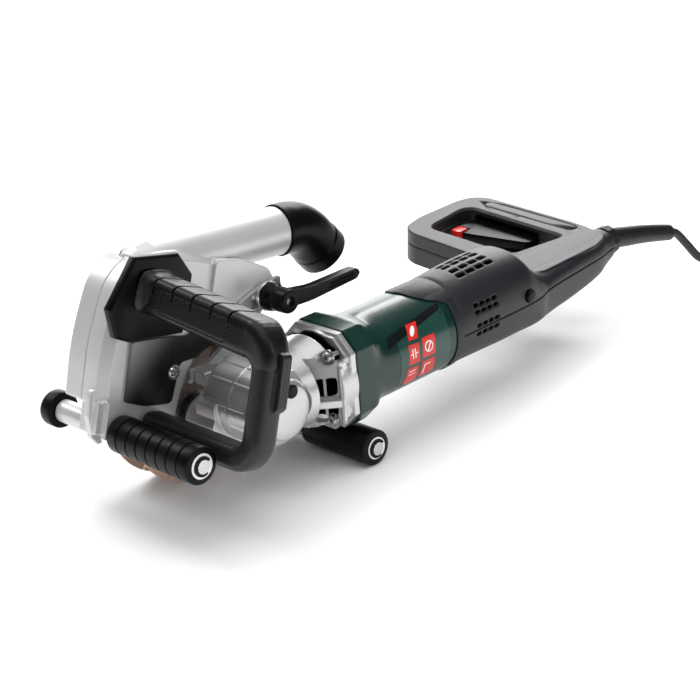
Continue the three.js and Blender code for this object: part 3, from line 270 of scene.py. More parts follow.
def spin(o, ang, axis, at=(0, 0, 0)):
    M = Matrix.Translation(at) @ Matrix.Rotation(ang, 4, axis) @ Matrix.Translation(-Vector(at)); o.data.transform(M); return o
def move(o, x, y, z): o.data.transform(Matrix.Translation((x, y, z))); return o

def bake(o):
    dg = bpy.context.evaluated_depsgraph_get(); dg.update()
    me = bpy.data.meshes.new_from_object(o.evaluated_get(dg), preserve_all_data_layers=False, depsgraph=dg)
    o.modifiers.clear(); old = o.data; o.data = me; bpy.data.meshes.remove(old); return o
def _bool(o, kind, others):
    for q in others:
        m = o.modifiers.new("b", "BOOLEAN"); m.operation = kind; m.object = q
        try: m.solver = "MANIFOLD"
        except TypeError: m.solver = "EXACT"
    bake(o)
    for q in others: d = q.data; bpy.data.objects.remove(q); bpy.data.meshes.remove(d)
    return o
def cut(o, *q): return _bool(o, "DIFFERENCE", q)
def join(o, *q): return _bool(o, "UNION", q)
def both(o, *q): return _bool(o, "INTERSECT", q)
def copy(o): c = o.copy(); c.data = o.data.copy(); SCN.collection.objects.link(c); return c

def vox(o, size=None, smooth=4, cap=190000):
    size = size or VOX
    m = o.modifiers.new("r", "REMESH"); m.mode = "VOXEL"; m.voxel_size = size; m.use_smooth_shade = True
    if smooth: s = o.modifiers.new("s", "SMOOTH"); s.factor = 0.5; s.iterations = smooth
    bake(o); n = sum(len(p.vertices) - 2 for p in o.data.polygons)
    if n > cap: d = o.modifiers.new("d", "DECIMATE"); d.ratio = cap / n; bake(o)
    return o
def bev(o, w=0.5, seg=2, ang=32):
    b = o.modifiers.new("bv", "BEVEL"); b.width = w; b.segments = seg; b.limit_method = "ANGLE"; b.angle_limit = ang * D; b.use_clamp_overlap = True
    return bake(o)

# ------------------------------------------------------------------ materials
def mat(name, col, rough=0.5, metal=0.0, spec=0.5, grain=(180.0, 0.12, 0.15), bump=0.1, coat=0.0, var=0.12, wear=None, aniso=None, edge=None, dspec=0.38):
    m = bpy.data.materials.new(name); m.use_nodes = True; nt = m.node_tree; n, l = nt.nodes, nt.links
    p = n["Principled BSDF"]; tc = n.new("ShaderNodeTexCoord")
    p.inputs["Metallic"].default_value = metal; p.inputs["Specular IOR Level"].default_value = spec if metal > 0.2 else dspec
    if coat: p.inputs["Coat Weight"].default_value = coat; p.inputs["Coat Roughness"].default_value = 0.12
    big = n.new("ShaderNodeTexNoise"); big.inputs["Scale"].default_value = 26; big.inputs["Detail"].default_value = 5; l.new(tc.outputs["Object"], big.inputs["Vector"])
    fine = n.new("ShaderNodeTexNoise"); fine.inputs["Scale"].default_value = grain[0] * 10; fine.inputs["Detail"].default_value = 3; l.new(tc.outputs["Object"], fine.inputs["Vector"])
    ramp = n.new("ShaderNodeMixRGB"); ramp.blend_type = "MIX"
    c1 = [max(0, c * (1 - var)) for c in col] + [1]; c2 = [min(1, c * (1 + var)) for c in col] + [1]
    ramp.inputs[1].default_value = c1; ramp.inputs[2].default_value = c2; l.new(big.outputs["Fac"], ramp.inputs[0]); out = ramp.outputs[0]
    if wear:                       # worn, a lighter wear colour laid over in noise patches
        w = n.new("ShaderNodeTexNoise"); w.inputs["Scale"].default_value = 60; w.inputs["Detail"].default_value = 8; l.new(tc.outputs["Object"], w.inputs["Vector"])
        cr = n.new("ShaderNodeValToRGB"); cr.color_ramp.elements[0].position = 0.60; cr.color_ramp.elements[1].position = 0.72; l.new(w.outputs["Fac"], cr.inputs[0])
        mx = n.new("ShaderNodeMixRGB"); mx.inputs[2].default_value = (*wear, 1); l.new(cr.outputs[0], mx.inputs[0]); l.new(out, mx.inputs[1]); out = mx.outputs[0]
    l.new(out, p.inputs["Base Color"])
    rr = n.new("ShaderNodeMapRange"); rr.inputs["To Min"].default_value = max(0.02, rough - grain[2] * 0.5); rr.inputs["To Max"].default_value = min(1, rough + grain[2] * 0.5); l.new(fine.outputs["Fac"], rr.inputs["Value"]); l.new(rr.outputs[0], p.inputs["Roughness"])
    b = n.new("ShaderNodeBump"); b.inputs["Strength"].default_value = bump; b.inputs["Distance"].default_value = 0.0004; l.new(fine.outputs["Fac"], b.inputs["Height"]); l.new(b.outputs[0], p.inputs["Normal"])
    m["nodes_out"] = 1
    return m

M_CAST = mat("cast_alu", (0.62, 0.612, 0.61), 0.36, 0.45, grain=(120, 0.2, 0.12), bump=0.10, var=0.05)
M_HEAD = mat("head_alu", (0.60, 0.60, 0.605), 0.30, 0.80, grain=(150, 0.2, 0.14), bump=0.12, var=0.06)
M_DARKC = mat("dark_cast", (0.045, 0.043, 0.043), 0.34, 0.45, grain=(140, 0.2, 0.16), bump=0.18, var=0.2)
M_GREEN = mat("green_shell", (0.0016, 0.024, 0.018), 0.27, 0.0, grain=(220, 0.2, 0.10), bump=0.05, var=0.10, coat=0.25)
M_BLACK = mat("black_shell", (0.0115, 0.0120, 0.0150), 0.38, 0.0, dspec=0.42, grain=(260, 0.2, 0.18), bump=0.32, var=0.18)
M_BLACK2 = mat("black_satin", (0.0018, 0.0018, 0.0019), 0.30, 0.0, dspec=0.17, grain=(200, 0.2, 0.12), bump=0.12, var=0.2)
M_GRIP = mat("soft_grip", (0.0042, 0.0038, 0.0038), 0.30, 0.0, dspec=0.45, grain=(240, 0.2, 0.14), bump=0.25, var=0.25)
M_BAR = mat("handle_satin", (0.0120, 0.0100, 0.0094), 0.34, 0.0, dspec=0.42, grain=(200, 0.2, 0.12), bump=0.10, var=0.12)
M_RUBBER = mat("roller_rubber", (0.0016, 0.0016, 0.0016), 0.38, 0.0, dspec=0.16, grain=(150, 0.2, 0.2), bump=0.3, var=0.3)
M_CHROME = mat("chrome", (0.86, 0.87, 0.88), 0.12, 1.0, grain=(90, 0.2, 0.06), bump=0.02, var=0.03)
M_STEEL = mat("steel", (0.58, 0.58, 0.60), 0.28, 1.0, grain=(90, 0.2, 0.12), bump=0.06, var=0.07)
M_COPPER = mat("winding", (0.50, 0.20, 0.07), 0.4, 1.0, var=0.2)
M_BRASS = mat("brass", (0.66, 0.46, 0.16), 0.3, 1.0, var=0.1)
# painted reflection: the disc steel's brownish-pink tint stands in for a reflection
M_DISC_PAINTED_REFLECTION = mat("disc_steel", (0.60, 0.50, 0.45), 0.40, 0.75, grain=(60, 0.2, 0.16), bump=0.15, var=0.12)
M_SEG = mat("disc_rim", (0.62, 0.43, 0.33), 0.62, 0.35, grain=(160, 0.3, 0.2), bump=0.9, var=0.25)
M_RED = mat("red_gloss", (0.62, 0.018, 0.010), 0.30, 0.0, var=0.08, coat=0.3)
M_CORD = mat("cord", (0.0045, 0.0045, 0.005), 0.46, 0.0, grain=(120, 0.2, 0.1), bump=0.08, var=0.15)
# painted shade: a darker, rougher copy of the head alloy for the slanted near face
M_HEAD_PAINTED_SHADE = mat("head_painted_shade", (0.30, 0.30, 0.305), 0.42, 0.55, grain=(150, 0.2, 0.14), bump=0.12, var=0.08)
M_WASH = mat("washer_satin", (0.88, 0.88, 0.88), 0.45, 0.25, var=0.02, bump=0.02)
M_LABEL = mat("panel_green", (0.008, 0.050, 0.038), 0.30, 0.0, grain=(220, 0.2, 0.08), bump=0.02, var=0.12, coat=0.4)
M_STRIPE = mat("panel_stripe", (0.004, 0.006, 0.006), 0.25, 0.0, var=0.2, bump=0.02)
M_WHITE = mat("panel_white", (0.82, 0.80, 0.78), 0.4, 0.0, var=0.03, bump=0.02)
# near black, rough: the axle retainer rings, and painted shade in the gear head's neck recess
M_NEAR_BLACK_AND_PAINTED_SHADE = mat("near_black_and_painted_shade", (0.004, 0.004, 0.004), 0.8, 0.0, var=0.1)

def graded(m, a, b, c0, c1):
    """lays a soft painted-shade gradient between two points (row frame, mm) under the material's own variation"""
    nt = m.node_tree; n, l = nt.nodes, nt.links; p = n["Principled BSDF"]; tc = n.new("ShaderNodeTexCoord"); A, B = MW @ Vector(a) * 0.001, MW @ Vector(b) * 0.001; d = B - A
    dt = n.new("ShaderNodeVectorMath"); dt.operation = "DOT_PRODUCT"; l.new(tc.outputs["Object"], dt.inputs[0]); dt.inputs[1].default_value = d / d.length_squared
    mr = n.new("ShaderNodeMapRange"); mr.inputs["From Min"].default_value = A.dot(d) / d.length_squared; mr.inputs["From Max"].default_value = mr.inputs["From Min"].default_value + 1; mr.interpolation_type = "SMOOTHSTEP"; l.new(dt.outputs["Value"], mr.inputs["Value"])
    ramp = n.new("ShaderNodeMixRGB"); ramp.inputs[1].default_value = (*c0, 1); ramp.inputs[2].default_value = (*c1, 1); l.new(mr.outputs[0], ramp.inputs[0])
    mul = n.new("ShaderNodeMixRGB"); mul.blend_type = "MULTIPLY"; mul.inputs[0].default_value = 1; src = p.inputs["Base Color"].links[0].from_socket; l.new(src, mul.inputs[1]); l.new(ramp.outputs[0], mul.inputs[2]); l.new(mul.outputs[0], p.inputs["Base Color"]); return m
# painted shade: the guard's colour runs from near white at the first point to near black at the second
M_GUARD_PAINTED_SHADE = graded(mat("guard_painted_shade", (0.5, 0.48, 0.475), 0.40, 0.45, grain=(140, 0.2, 0.14), bump=0.15, var=0.08), (0, -205, 140), (0, -165, 85), (0.95, 0.95, 0.95), (0.012, 0.012, 0.012))
CADMAT = {"cast_aluminium": M_CAST, "dark_casting": M_DARKC, "steel": M_STEEL, "chrome": M_CHROME, "green_plastic": M_GREEN, "black_plastic": M_BLACK, "soft_grip": M_GRIP, "roller_rubber": M_RUBBER, "cord_rubber": M_CORD, "windings": M_COPPER, "brush_brass": M_BRASS, "disc_steel": M_DISC_PAINTED_REFLECTION, "red_plastic": M_RED}
for s in frame["record"]["subparts"]:
    o = N.get(s["node"])
    if o is None: continue
    o.data.materials.clear(); o.data.materials.append(CADMAT.get(s.get("material_slot"), M_STEEL))
    for p in o.data.polygons: p.use_smooth = False

BODY = {}
for b, ns in frame["record"]["behaviour"]["bodies"].items():
    for n in ns: BODY[n] = b

def piece(o, name, M, nodes, material, angle=35, extra=()):
    """places a finished mesh in the row frame, gives it its looks and ties it to its CAD nodes"""
    o.name = name; o.data.name = name; o.data.transform(S3 @ M)
    o.data.materials.clear(); o.data.materials.append(material)
    for e in extra: o.data.materials.append(e)
    for p in o.data.polygons: p.use_smooth = True
    if angle: o.data.set_sharp_from_angle(angle=angle * D)
    nodes = [nodes] if isinstance(nodes, str) else list(nodes)
    if nodes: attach(o, BODY[nodes[0]]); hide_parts(*nodes)
    return o
def extra(o, name, M, body, material, slot=None, angle=35):
    o.name = name; o.data.name = name; o.data.transform(S3 @ M); o.data.materials.clear(); o.data.materials.append(material)
    for p in o.data.polygons: p.use_smooth = True
    if angle: o.data.set_sharp_from_angle(angle=angle * D)
    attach(o, body)
    return o

# ------------------------------------------------------------------ hood
XM, X0, X1 = -42.0, -67.5, -16.0
prof = [(-222, 22), (-223, 70), (-214, 120), (-200, 139), (-180, 149), (-150, 152), (-112, 148), (-76.5, 128), (-39.5, 70), (-38.5, 24), (-43, -6), (-175, -6), (-185, 22)]
outer = rp(prof, [2, 24, 20, 14, 14, 12, 16, 24, 20, 10, 4, 4, 4], 10)
inn = rp([(-218.5, 18), (-219.5, 70), (-211, 118), (-198, 136), (-179, 145.5), (-150, 148.5), (-113, 144.5), (-80, 126), (-43, 69), (-42, 24), (-46.5, -20), (-180, -20), (-187, 18)], [2, 22, 18, 12, 12, 10, 14, 22, 18, 8, 1, 1, 2], 10)
SD = 12.6 * D
def spout(r, a, b, seg=96):
    o = rod(r, a, b, "Y", seg=seg); spin(o, SD, "X"); return move(o, XM + 0.2, -28.5, 166.5)
Rs, As = math.hypot(SPY, SPZ), math.atan2(SPZ, SPY)
def sweep_holes(): return [rod(24, -30, 0, "X", (0, Rs * math.cos(As + (3.4 - i * 21.8 / 9) * D), Rs * math.sin(As + (3.4 - i * 21.8 / 9) * D)), 64) for i in range(10)]
def cham_plate(pts, x0, x1, side, w):
    """plate whose outline edge on one face is taken back by w, as a broad cast chamfer"""
    P = [Vector(p) for p in pts]; c = sum(P, Vector((0, 0))) / len(P); n = len(P); ins = []
    area = sum(P[i].x * P[(i + 1) % n].y - P[(i + 1) % n].x * P[i].y for i in range(n))
    for i in range(n):
        d = (P[(i + 1) % n] - P[i - 1]).normalized(); nm = Vector((-d.y, d.x)) * (1 if area > 0 else -1); ins.append(P[i] + nm * w)
    xs = [x0, x1 - w, x1] if side > 0 else [x0, x0 + w, x1]
    rings = [P, P, ins] if side > 0 else [ins, P, P]
    v = [(x, q.x, q.y) for x, r in zip(xs, rings) for q in r]
    f = [tuple(range(n)), tuple(range(2 * n, 3 * n))[::-1]] + [(k * n + i, k * n + (i + 1) % n, (k + 1) * n + (i + 1) % n, (k + 1) * n + i) for k in range(2) for i in range(n)]
    o = mesh_ob("c", v, f); bm = bmesh.new(); bm.from_mesh(o.data); bmesh.ops.triangulate(bm, faces=[q for q in bm.faces if len(q.verts) > 4]); bm.to_mesh(o.data); bm.free(); return o

b = cham_plate(outer, XM + 0.25, X1, 1, 7.5)
def foot(r, a, k):
    o = lathe([(0, a), (r * 0.35, a + 1.0 * k), (r * 0.66, a + 4.5 * k), (r * 0.88, a + 11 * k), (r, a + 24 * k), (r, 0), (0, 0)], 96, "Y"); spin(o, SD, "X"); return move(o, XM + 0.2, -28.5, 166.5)
b = join(b, both(foot(22, -170, 1), box(X0, X1 + 30, -300, 200, -20, 300)))
b = join(b, box(-41.75, -20, -221.5, -190, -2, 26), prism([(-214, -6), (-214, 40), (-180, 40), (-172, 0), (-186, -8)], -22, X1), rod(10, -90.5, -14.5, "X", (0, -200, 0), 64))
# upright cast rib over the bar, and the arm to the rear axle
b = join(b, prism([(-226.5, 30), (-224.5, 34), (-221, 34), (-218, 10), (-208, -10.5), (-212, -12), (-220, -6), (-226, 12)], -31.5, -25.5))
b = join(b, prism(rp([(-84, 10), (-40, 30), (4, 15), (14, 8), (15, -6), (6, -15), (-8, -14), (-60, -6)], 5), -22, X1), rod(14.2, -21.5, -15.2, "X", (0, 0, 0), 64))
b = join(b, prism(rp([(-120, 100), (-120, 146), (-88, 146), (-58, 139), (-46, 122), (-50, 104), (-70, 98)], 6), -18.6, -12))
b = cut(b, cham_plate(inn, XM - 1, X1 - 2.6, 1, 7.0), spout(19.4, -120, 10))
b = cut(b, *sweep_holes())
b = cut(b, rod(6.2, -130, 10, "X", (0, -200, 0)), rod(6.2, -60, 10, "X"), rod(4.25, -40, 0, "X", (0, -62, 116)))
# engraved depth scale on the ear
for i in range(9):
    a = (118.1 + 14.0 + i * 2.6) * D; L = 6.5 if i % 2 == 0 else 4.2
    c = box(-12.5, -11, -0.22, 0.22, 146.5, 146.5 + L); spin(c, (a - math.pi / 2), "X"); b = cut(b, c)
b = vox(b, 0.7, 1)
piece(b, "Hood_body", MH, "hood_body", M_CAST, angle=0)
c = cham_plate(outer, X0, XM - 0.25, -1, 3.2)
c = join(c, prism(rp([(-84, 10), (-40, 30), (4, 15), (14, 8), (15, -6), (6, -15), (-8, -14), (-60, -6)], 5), X0, X0 + 6))
c = cut(c, prism(inn, X0 + 2.4, XM + 5), foot(22.35, -170.4, 1), rod(10.9, -120, 20, "X", (0, -200, 0)), rod(6.2, -130, 10, "X"))
c = vox(c, 0.8, 4, 150000)
piece(c, "Hood_cover", MH, "hood_cover", M_CAST, angle=0)

# eight-sided plate
octp = [(-211, 147.5), (-165, 151.5), (-147, 134), (-147.6, 112), (-150, 84), (-206, 77.5), (-221, 81), (-231, 104.5)]
p = bev(cham_plate(octp, -15.7, -8, 1, 2.2), 0.35, 2, 15)
piece(p, "Handle_plate", MH, "handle_plate", M_BLACK2)

# bail handle
HY, ZT, ZB, XO, RC = -168, 103, 7, 116, 20
def TB(x): t = (x + 7.6) / 103.6; return (x, -188 + 20 * t, 118 - 15 * t)
path = [TB(-7.6)] + [TB(x) for x in range(0, 93, 6)]
path += [(XO - RC + RC * math.cos(t * D), HY, ZT - RC + RC * math.sin(t * D)) for t in range(84, -1, -7)]
path += [(XO, HY, z) for z in range(76, 26, -6)]
path += [(XO - RC + RC * math.cos(-t * D), HY, ZB + RC - RC * math.sin(t * D)) for t in range(0, 91, 7)]
path += [(x, HY, ZB) for x in range(90, -6, -6)] + [(-12, HY, ZB)]
h = sweep(path, lambda t: sup(12.0, 11.0, 3.2, 48), side=(0, 1, 0))
rootp = sweep([TB(x) for x in (-7.7, -6, -3, 0, 4)], lambda t: sup(np.interp(t, [0, 0.4, 1], [20.5, 17.6, 16.4]), np.interp(t, [0, 0.4, 1], [20.0, 17.2, 16.2]), 3.4, 64, 1.1, 1.9), side=(0, 1, 0))
h = join(h, rootp)
spine = rp([(XO + 6, 100), (XO + 15.6, 97), (XO + 16.6, 54), (XO + 6, 46)], 3)
h = join(h, prism([(x, z) for x, z in spine], HY - 1, HY + 9, "Y"))
h = cut(h, both(box(XO + 11.2, XO + 20, HY + 1.2, HY + 2.1, 10, 96), box(0, 300, -300, 0, 12, 92)))
h = vox(h, 0.8, 2, 120000)
piece(h, "Front_handle", MH, "front_handle", M_BAR, angle=0)
n0 = next(i for i, q in enumerate(path) if q[0] > 3); n1 = next(i for i, q in enumerate(path) if q[2] < 78)
def gsec(t): k = 1 - min(1, max(0, (t - 0.80) / 0.2)); return rp([(-15.4 + (1 - k) * 3.2, -14.6 + (1 - k) * 3.4), (12.4 + 5.2 * k, -14.6 + (1 - k) * 3.4), (12.4 + 5.2 * k, 11.4 + 7 * k), (-15.4 + (1 - k) * 3.2, 11.4 + 7 * k)], [9, 8, 10, 10], 7)
gpth = [TB(-1)] + [q for q in path[n0:n1]]
g = sweep(gpth, gsec, side=(0, 1, 0))
g = cut(g, sweep([TB(-5)] + path[n0:n1 + 1], lambda t: sup(11.9, 10.9, 3.2, 48), side=(0, 1, 0)))
for x in (9.6, 29, 48.5, 68, 86):
    q = TB(x); k = tube(14.3, 60, -0.85, 0.85, "X", (0, 0, 0), 64); k = both(k, box(-5, 5, -40, 40, 3, 60)); spin(k, -12 * D, "Z"); move(k, x, q[1] + 1, q[2] + 1.5); g = cut(g, k)
def strip(x0, x1, dz0, dz1): return sweep([tuple(np.array(TB(x)) + np.array((0, -15.4, 0))) for x in (x0, (x0 + x1) / 2, x1)], [(-2, dz0), (1.5, dz0), (1.5, dz1), (-2, dz1)], side=(0, 1, 0))
g = cut(g, strip(14, 80, 9.4, 10.4), strip(14, 80, -8.6, -7.6), strip(13, 14, -8.6, 10.4), strip(80, 81, -8.6, 10.4))
g = vox(g, 0.5, 1, 170000)
piece(g, "Grip_sleeve", MH, "front_handle_grip", M_GRIP, angle=0)

# guard plate, built flat; its dished look is only a painted shade gradient in its material
gp = rp([(-199, 26), (-199.5, 76.5), (-160, 80.5), (-140, 80.5), (-122, 93), (-98, 93), (-90, 70), (-146, 58), (-150, 23), (-178, 22)], [2, 2, 5, 5, 5, 5, 5, 5, 5, 5], 6)
o = prism(gp, -15.7, -12.4); o = cut(o, *sweep_holes()); o = cut(o, rod(2.4, -20, 0, "X", (0, -152, 50)), box(-20, 0, -181, -155, -20, 21))
o = bev(o, 0.5, 2)
piece(o, "Guard_plate", MH, "guard_plate", M_GUARD_PAINTED_SHADE)
o = lathe([(0, -12.05), (6.5, -12.05), (6.5, -11.3), (4.3, -11.3), (3.9, -9.4), (3.0, -8.7), (0, -8.7)], 48, "X", (0, -152, 50))
o = cut(o, prism([(-152 + 1.9 * math.cos(k * D), 50 + 1.9 * math.sin(k * D)) for k in range(0, 360, 60)], -9.9, -8))
piece(bev(o, 0.15, 2), "Guard_screw", MH, "guard_screw", M_CHROME)

# clamp
piece(bev(tube(4.2, 13.5, -6.3, -2.6, "X", (0, -62, 116)), 0.6, 3), "Clamp_washer", MH, "clamp_washer", M_CHROME)
hb = lathe([(4.2, -2.2), (12.6, -2.2), (12.6, 3), (10.4, 7), (11.2, 12), (10.6, 22), (9.2, 24), (4.2, 24)], 64, "X")
lv = prism(rp([(-6, -8), (28, 0.5), (81, 20), (84, 26), (79, 29.5), (27, 13), (-5, 9)], [4, 6, 4, 4, 4, 8, 4], 6), 11, 21)
hb = join(hb, lv); hb = cut(hb, rod(4.2, -10, 22.6, "X"))
for s in (10.2, 20.4):
    pass
hb = cut(hb, *[prism([(48, 10.6 + k * 3.4), (76, 20.6 + k * 3.2), (75.6, 21.8 + k * 3.2), (47.6, 12.0 + k * 3.4)], 20.1, 24) for k in range(2)])
hb = vox(hb, 0.55, 3, 90000)
move(hb, 0, -62, 116)
piece(hb, "Clamp_lever", MH, "clamp_lever", M_BLACK2, angle=0)

# hose elbow
ep = catmull([(0, 0.6, 0), (0, 14, 0), (0, 26, -3), (0, 37, -10), (0, 47, -20), (0, 56, -29)], 5)
def place(o): spin(o, SD, "X"); return move(o, XM + 0.2, -28.5, 166.5)
def mouth(ri, a, b2): o = rod(ri, a, b2, "Y", seg=96); spin(o, -math.pi / 4, "X"); return place(move(o, 0, 47, -20))
ring = lambda r: [(r * math.cos(t), r * math.sin(t)) for t in np.linspace(0, 2 * math.pi, 64, endpoint=False)]
e = join(place(sweep(ep, ring(23.6), side=(1, 0, 0))), mouth(24.2, 1, 15.4))
ep2 = [Vector((0, -2, 0))] + ep[1:]
e = cut(e, place(sweep(ep2, ring(18.6), side=(1, 0, 0))), mouth(19.5, -2, 20))
piece(vox(e, 0.75, 3, 120000), "Hose_elbow", MH, "hose_elbow", M_BLACK2, angle=0)

# rollers, wheels, retainers
def roller_prof(x0, x1, n, r=16.0, c=1.2):
    pr = [(6.15, x0), (8.5, x0), (r - 1.6, x0), (r - 0.4, x0 + 0.5), (r, x0 + 1.5)]
    if n > 1:
        w = (x1 - x0) / n
        for i in range(1, n):
            a = x0 + i * w; pr += [(r, a - 1.1), (r - 0.5, a - 0.55), (r - 1.5, a - 0.3), (r - 1.5, a + 0.3), (r - 0.5, a + 0.55), (r, a + 1.1)]
    pr += [(r, x1 - 1.5), (r - 0.4, x1 - 0.5), (r - 1.6, x1), (8.5, x1), (6.15, x1)]
    return pr
piece(lathe(roller_prof(-13, 88.4, 8), 96, "X", (0, -200, 0)), "Front_roller", MH, "front_roller", M_RUBBER)
piece(lathe(roller_prof(-104.4, -91.6, 1), 96, "X", (0, -200, 0)), "Front_wheel", MH, "front_wheel", M_RUBBER)
piece(lathe(roller_prof(11, 88.4, 1), 96, "X"), "Rear_roller", MH, "rear_roller", M_RUBBER)
piece(lathe(roller_prof(-80.4, -68.2, 1), 96, "X"), "Rear_wheel", MH, "rear_wheel", M_RUBBER)
for nm, y in (("front", -200), ("rear", 0)):
    w = tube(6.2, 10.6 if nm == "front" else 10.0, 88.65, 89.5, "X", (0, y, 0), 96); w = bev(w, 0.2, 2)
    ou = [(y + 8.6 * math.cos(t * D), 8.6 * math.sin(t * D)) for t in range(42, 319, 6)]; i2 = [(y + 6.2 * math.cos(t * D), 6.2 * math.sin(t * D)) for t in range(318, 41, -6)]
    piece(w, "Retainer_washer_" + nm, MH, nm + "_axle_retainer", M_WASH)
    extra(bev(prism(ou + i2, 89.55, 90.7), 0.15, 1), "Retainer_ring_" + nm, MH, "hood", M_NEAR_BLACK_AND_PAINTED_SHADE, "chrome")
    extra(bev(lathe([(0, 91.45), (3.6, 91.45), (4.9, 90.4), (4.9, 88), (0, 88)], 6, "X", (0, y, 0)), 0.2, 2), "Axle_end_" + nm, MH, "hood", M_WASH, "chrome")

# ------------------------------------------------------------------ discs
def disc(x):
    o = tube(11.15, 62.5, x - 0.9, x + 0.9, "X", seg=180); rim = tube(54.5, 62.5, x - 1.15, x + 1.15, "X", seg=180)
    o = join(o, rim)
    for i in range(8):
        k = box(x - 3, x + 3, -1.1, 1.1, 50, 70); spin(k, i * math.pi / 4 + 0.2, "X"); q = rod(2.2, x - 3, x + 3, "X", (0, 0, 50)); spin(q, i * math.pi / 4 + 0.2, "X"); o = cut(o, k, q)
    return move(o, 0, SP[0], SP[1])
for nm, x in (("near", -24), ("far", -57)):
    o = disc(x); piece(o, "Disc_" + nm, MM, "cutting_disc_" + nm, M_DISC_PAINTED_REFLECTION, extra=(M_SEG,))
    ctr = (S3 @ MM) @ Vector((x, SP[0], SP[1]))
    for p in o.data.polygons:
        if (Vector(p.center) - Vector(((ctr).x, ctr.y, ctr.z))).length > 0.0542: p.material_index = 1

# ------------------------------------------------------------------ gear head
ra = MM.inverted() @ T0; ry, rz = ra.y, ra.z
head = lathe([(0, 6), (29, 6), (34, 11), (34, 66), (28, 74), (0, 74)], 128, "X")
nose = rod(21.4, -6, 30, "X", (0, SP[0], SP[1]), 96)
web = prism([(0, 33), (-38, 5), (-38, -30), (-10, -33), (20, -33)], 6, 30)
neck = lathe([(0, -6), (30, 0), (33, 22), (36, 40), (41, 56), (42.5, 64), (42.5, 75.6), (0, 75.6)], 128, "Y", (AX, 0, 0))
def octo(h, v, c): return [(h, -v + c), (h, v - c), (h - c, v), (-h + c, v), (-h, v - c), (-h, -v + c), (-h + c, -v), (h - c, -v)]
fl = prism([(AX + a, z) for a, z in octo(39, 42, 15)], 60, 75.6, "Y")
# raised lip with a channel behind it
fl = join(fl, prism([(AX + a, z) for a, z in octo(41, 43.6, 15.6)], 69.5, 75.6, "Y"))
fl = cut(fl, cut(prism([(AX + a, z) for a, z in octo(45, 48, 16)], 66.2, 69.0, "Y"), prism([(AX + a, z) for a, z in octo(37.2, 40.2, 14.4)], 60, 72, "Y")))
lug = prism(rp([(44, -24), (ry + 8, -30), (ry + 12, rz + 2), (ry + 8, rz - 9), (ry - 4, rz - 12), (ry - 12, rz - 4), (46, -36)], 2, 4), -9, 9)
gh = join(head, nose, web, neck, fl, prism([(AX - 6, 40), (AX - 6, 62), (83.2, 62), (83.2, 58), (64, 36), (58, 34)], -33, 27, "Z"), lug, box(0, 30, 44, 74, -40, -28), box(-6, 8, -26, 8, 14, 26))
# cast ribs over the head
gh = join(gh, *[spin(box(14, 62, -1.1, 1.1, 30, 34.8), a * D, "X") for a in (-52, -20, 12, 44, 76, 108)])
gh = join(gh, tube(30, 34.9, 40.8, 42.2, "X", seg=128))
gh = cut(gh, rod(30.5, 26.5, 64, "X", seg=96), rod(16, 12, 27, "X"), rod(19.2, 12, 29, "X", (0, SP[0], SP[1])), rod(6.4, 5, 13, "X"), rod(13.9, -7, 13, "X", (0, SP[0], SP[1])), rod(11.8, 63, 80, "X"), rod(27.8, 74.1, 100, "X", seg=96))
gh = cut(gh, lathe([(0, 16), (15, 16), (15, 34), (13.4, 34), (13.4, 42), (30, 50), (37.5, 60), (37.5, 90), (0, 90)], 96, "Y", (AX, 0, 0)), rod(6.25, -12, 12, "X", (0, ry, rz)))
# deep recess across the top of the neck, under the flange's upper strip
rc = cut(lathe([(33, 57.2), (60, 57.2), (60, 66), (36, 66)], 96, "Y", (AX, 0, 0)), box(-60, 200, 40, 80, -80, 24)); gh = cut(gh, rc)
# slanted near face with two cooling windows, a divider in each and a fin between
gh = cut(gh, prism([(83.6, 58.6), (110, 58.6), (110, 36), (61.8, 36)], -60, 60, "Z"))
def slant(o): spin(o, 46 * D, "Z"); return move(o, 61.8, 36, 0)          # local x runs along the face, local -y points out
wu = rp([(6, 10.5), (27.5, 11), (27.5, -4.6), (4.5, -6.4)], [6, 3, 4, 3], 5); wl = rp([(4.5, -16), (27.5, -15.4), (25, -31), (7, -30)], [3, 4, 4, 6], 5)
gh = cut(gh, slant(prism(wu, -6, 9.5, "Y")), slant(prism(wl, -6, 9.5, "Y")))
gh = join(gh, slant(box(-15, 30.5, -6.4, 3, -14.2, -7.4)), slant(box(15.6, 18.4, 0.3, 6, -32, 12)))
gh = join(gh, both(slant(prism([(29.5, 21), (33.5, 19), (34, -30), (29.5, -32)], -2.2, 6, "Y")), box(40, 84.6, 20, 75, -60, 60)))
# side pockets and screws
SCR = [(-29, 29), (29, 29), (29, -29), (-29, -29)]
for dx, dn in SCR:
    gh = cut(gh, rod(2.6, 50, 80, "Y", (AX + dx, 0, dn)), lathe([(0, 36), (8.4, 36), (7.2, 52), (6.4, 56.4), (0, 56.4)], 48, "Y", (AX + dx * 1.03, 0, dn * 1.02)))
gh = cut(gh, rod(3.4, 60, 100, "X", (0, -2, 22)))
gh = vox(gh, 0.62, 3)
gh = piece(gh, "Gear_head", MM, "gear_housing", M_HEAD, angle=0, extra=(M_HEAD_PAINTED_SHADE, M_NEAR_BLACK_AND_PAINTED_SHADE))
inv_ = (S3 @ MM).inverted(); R3 = inv_.to_3x3().normalized()
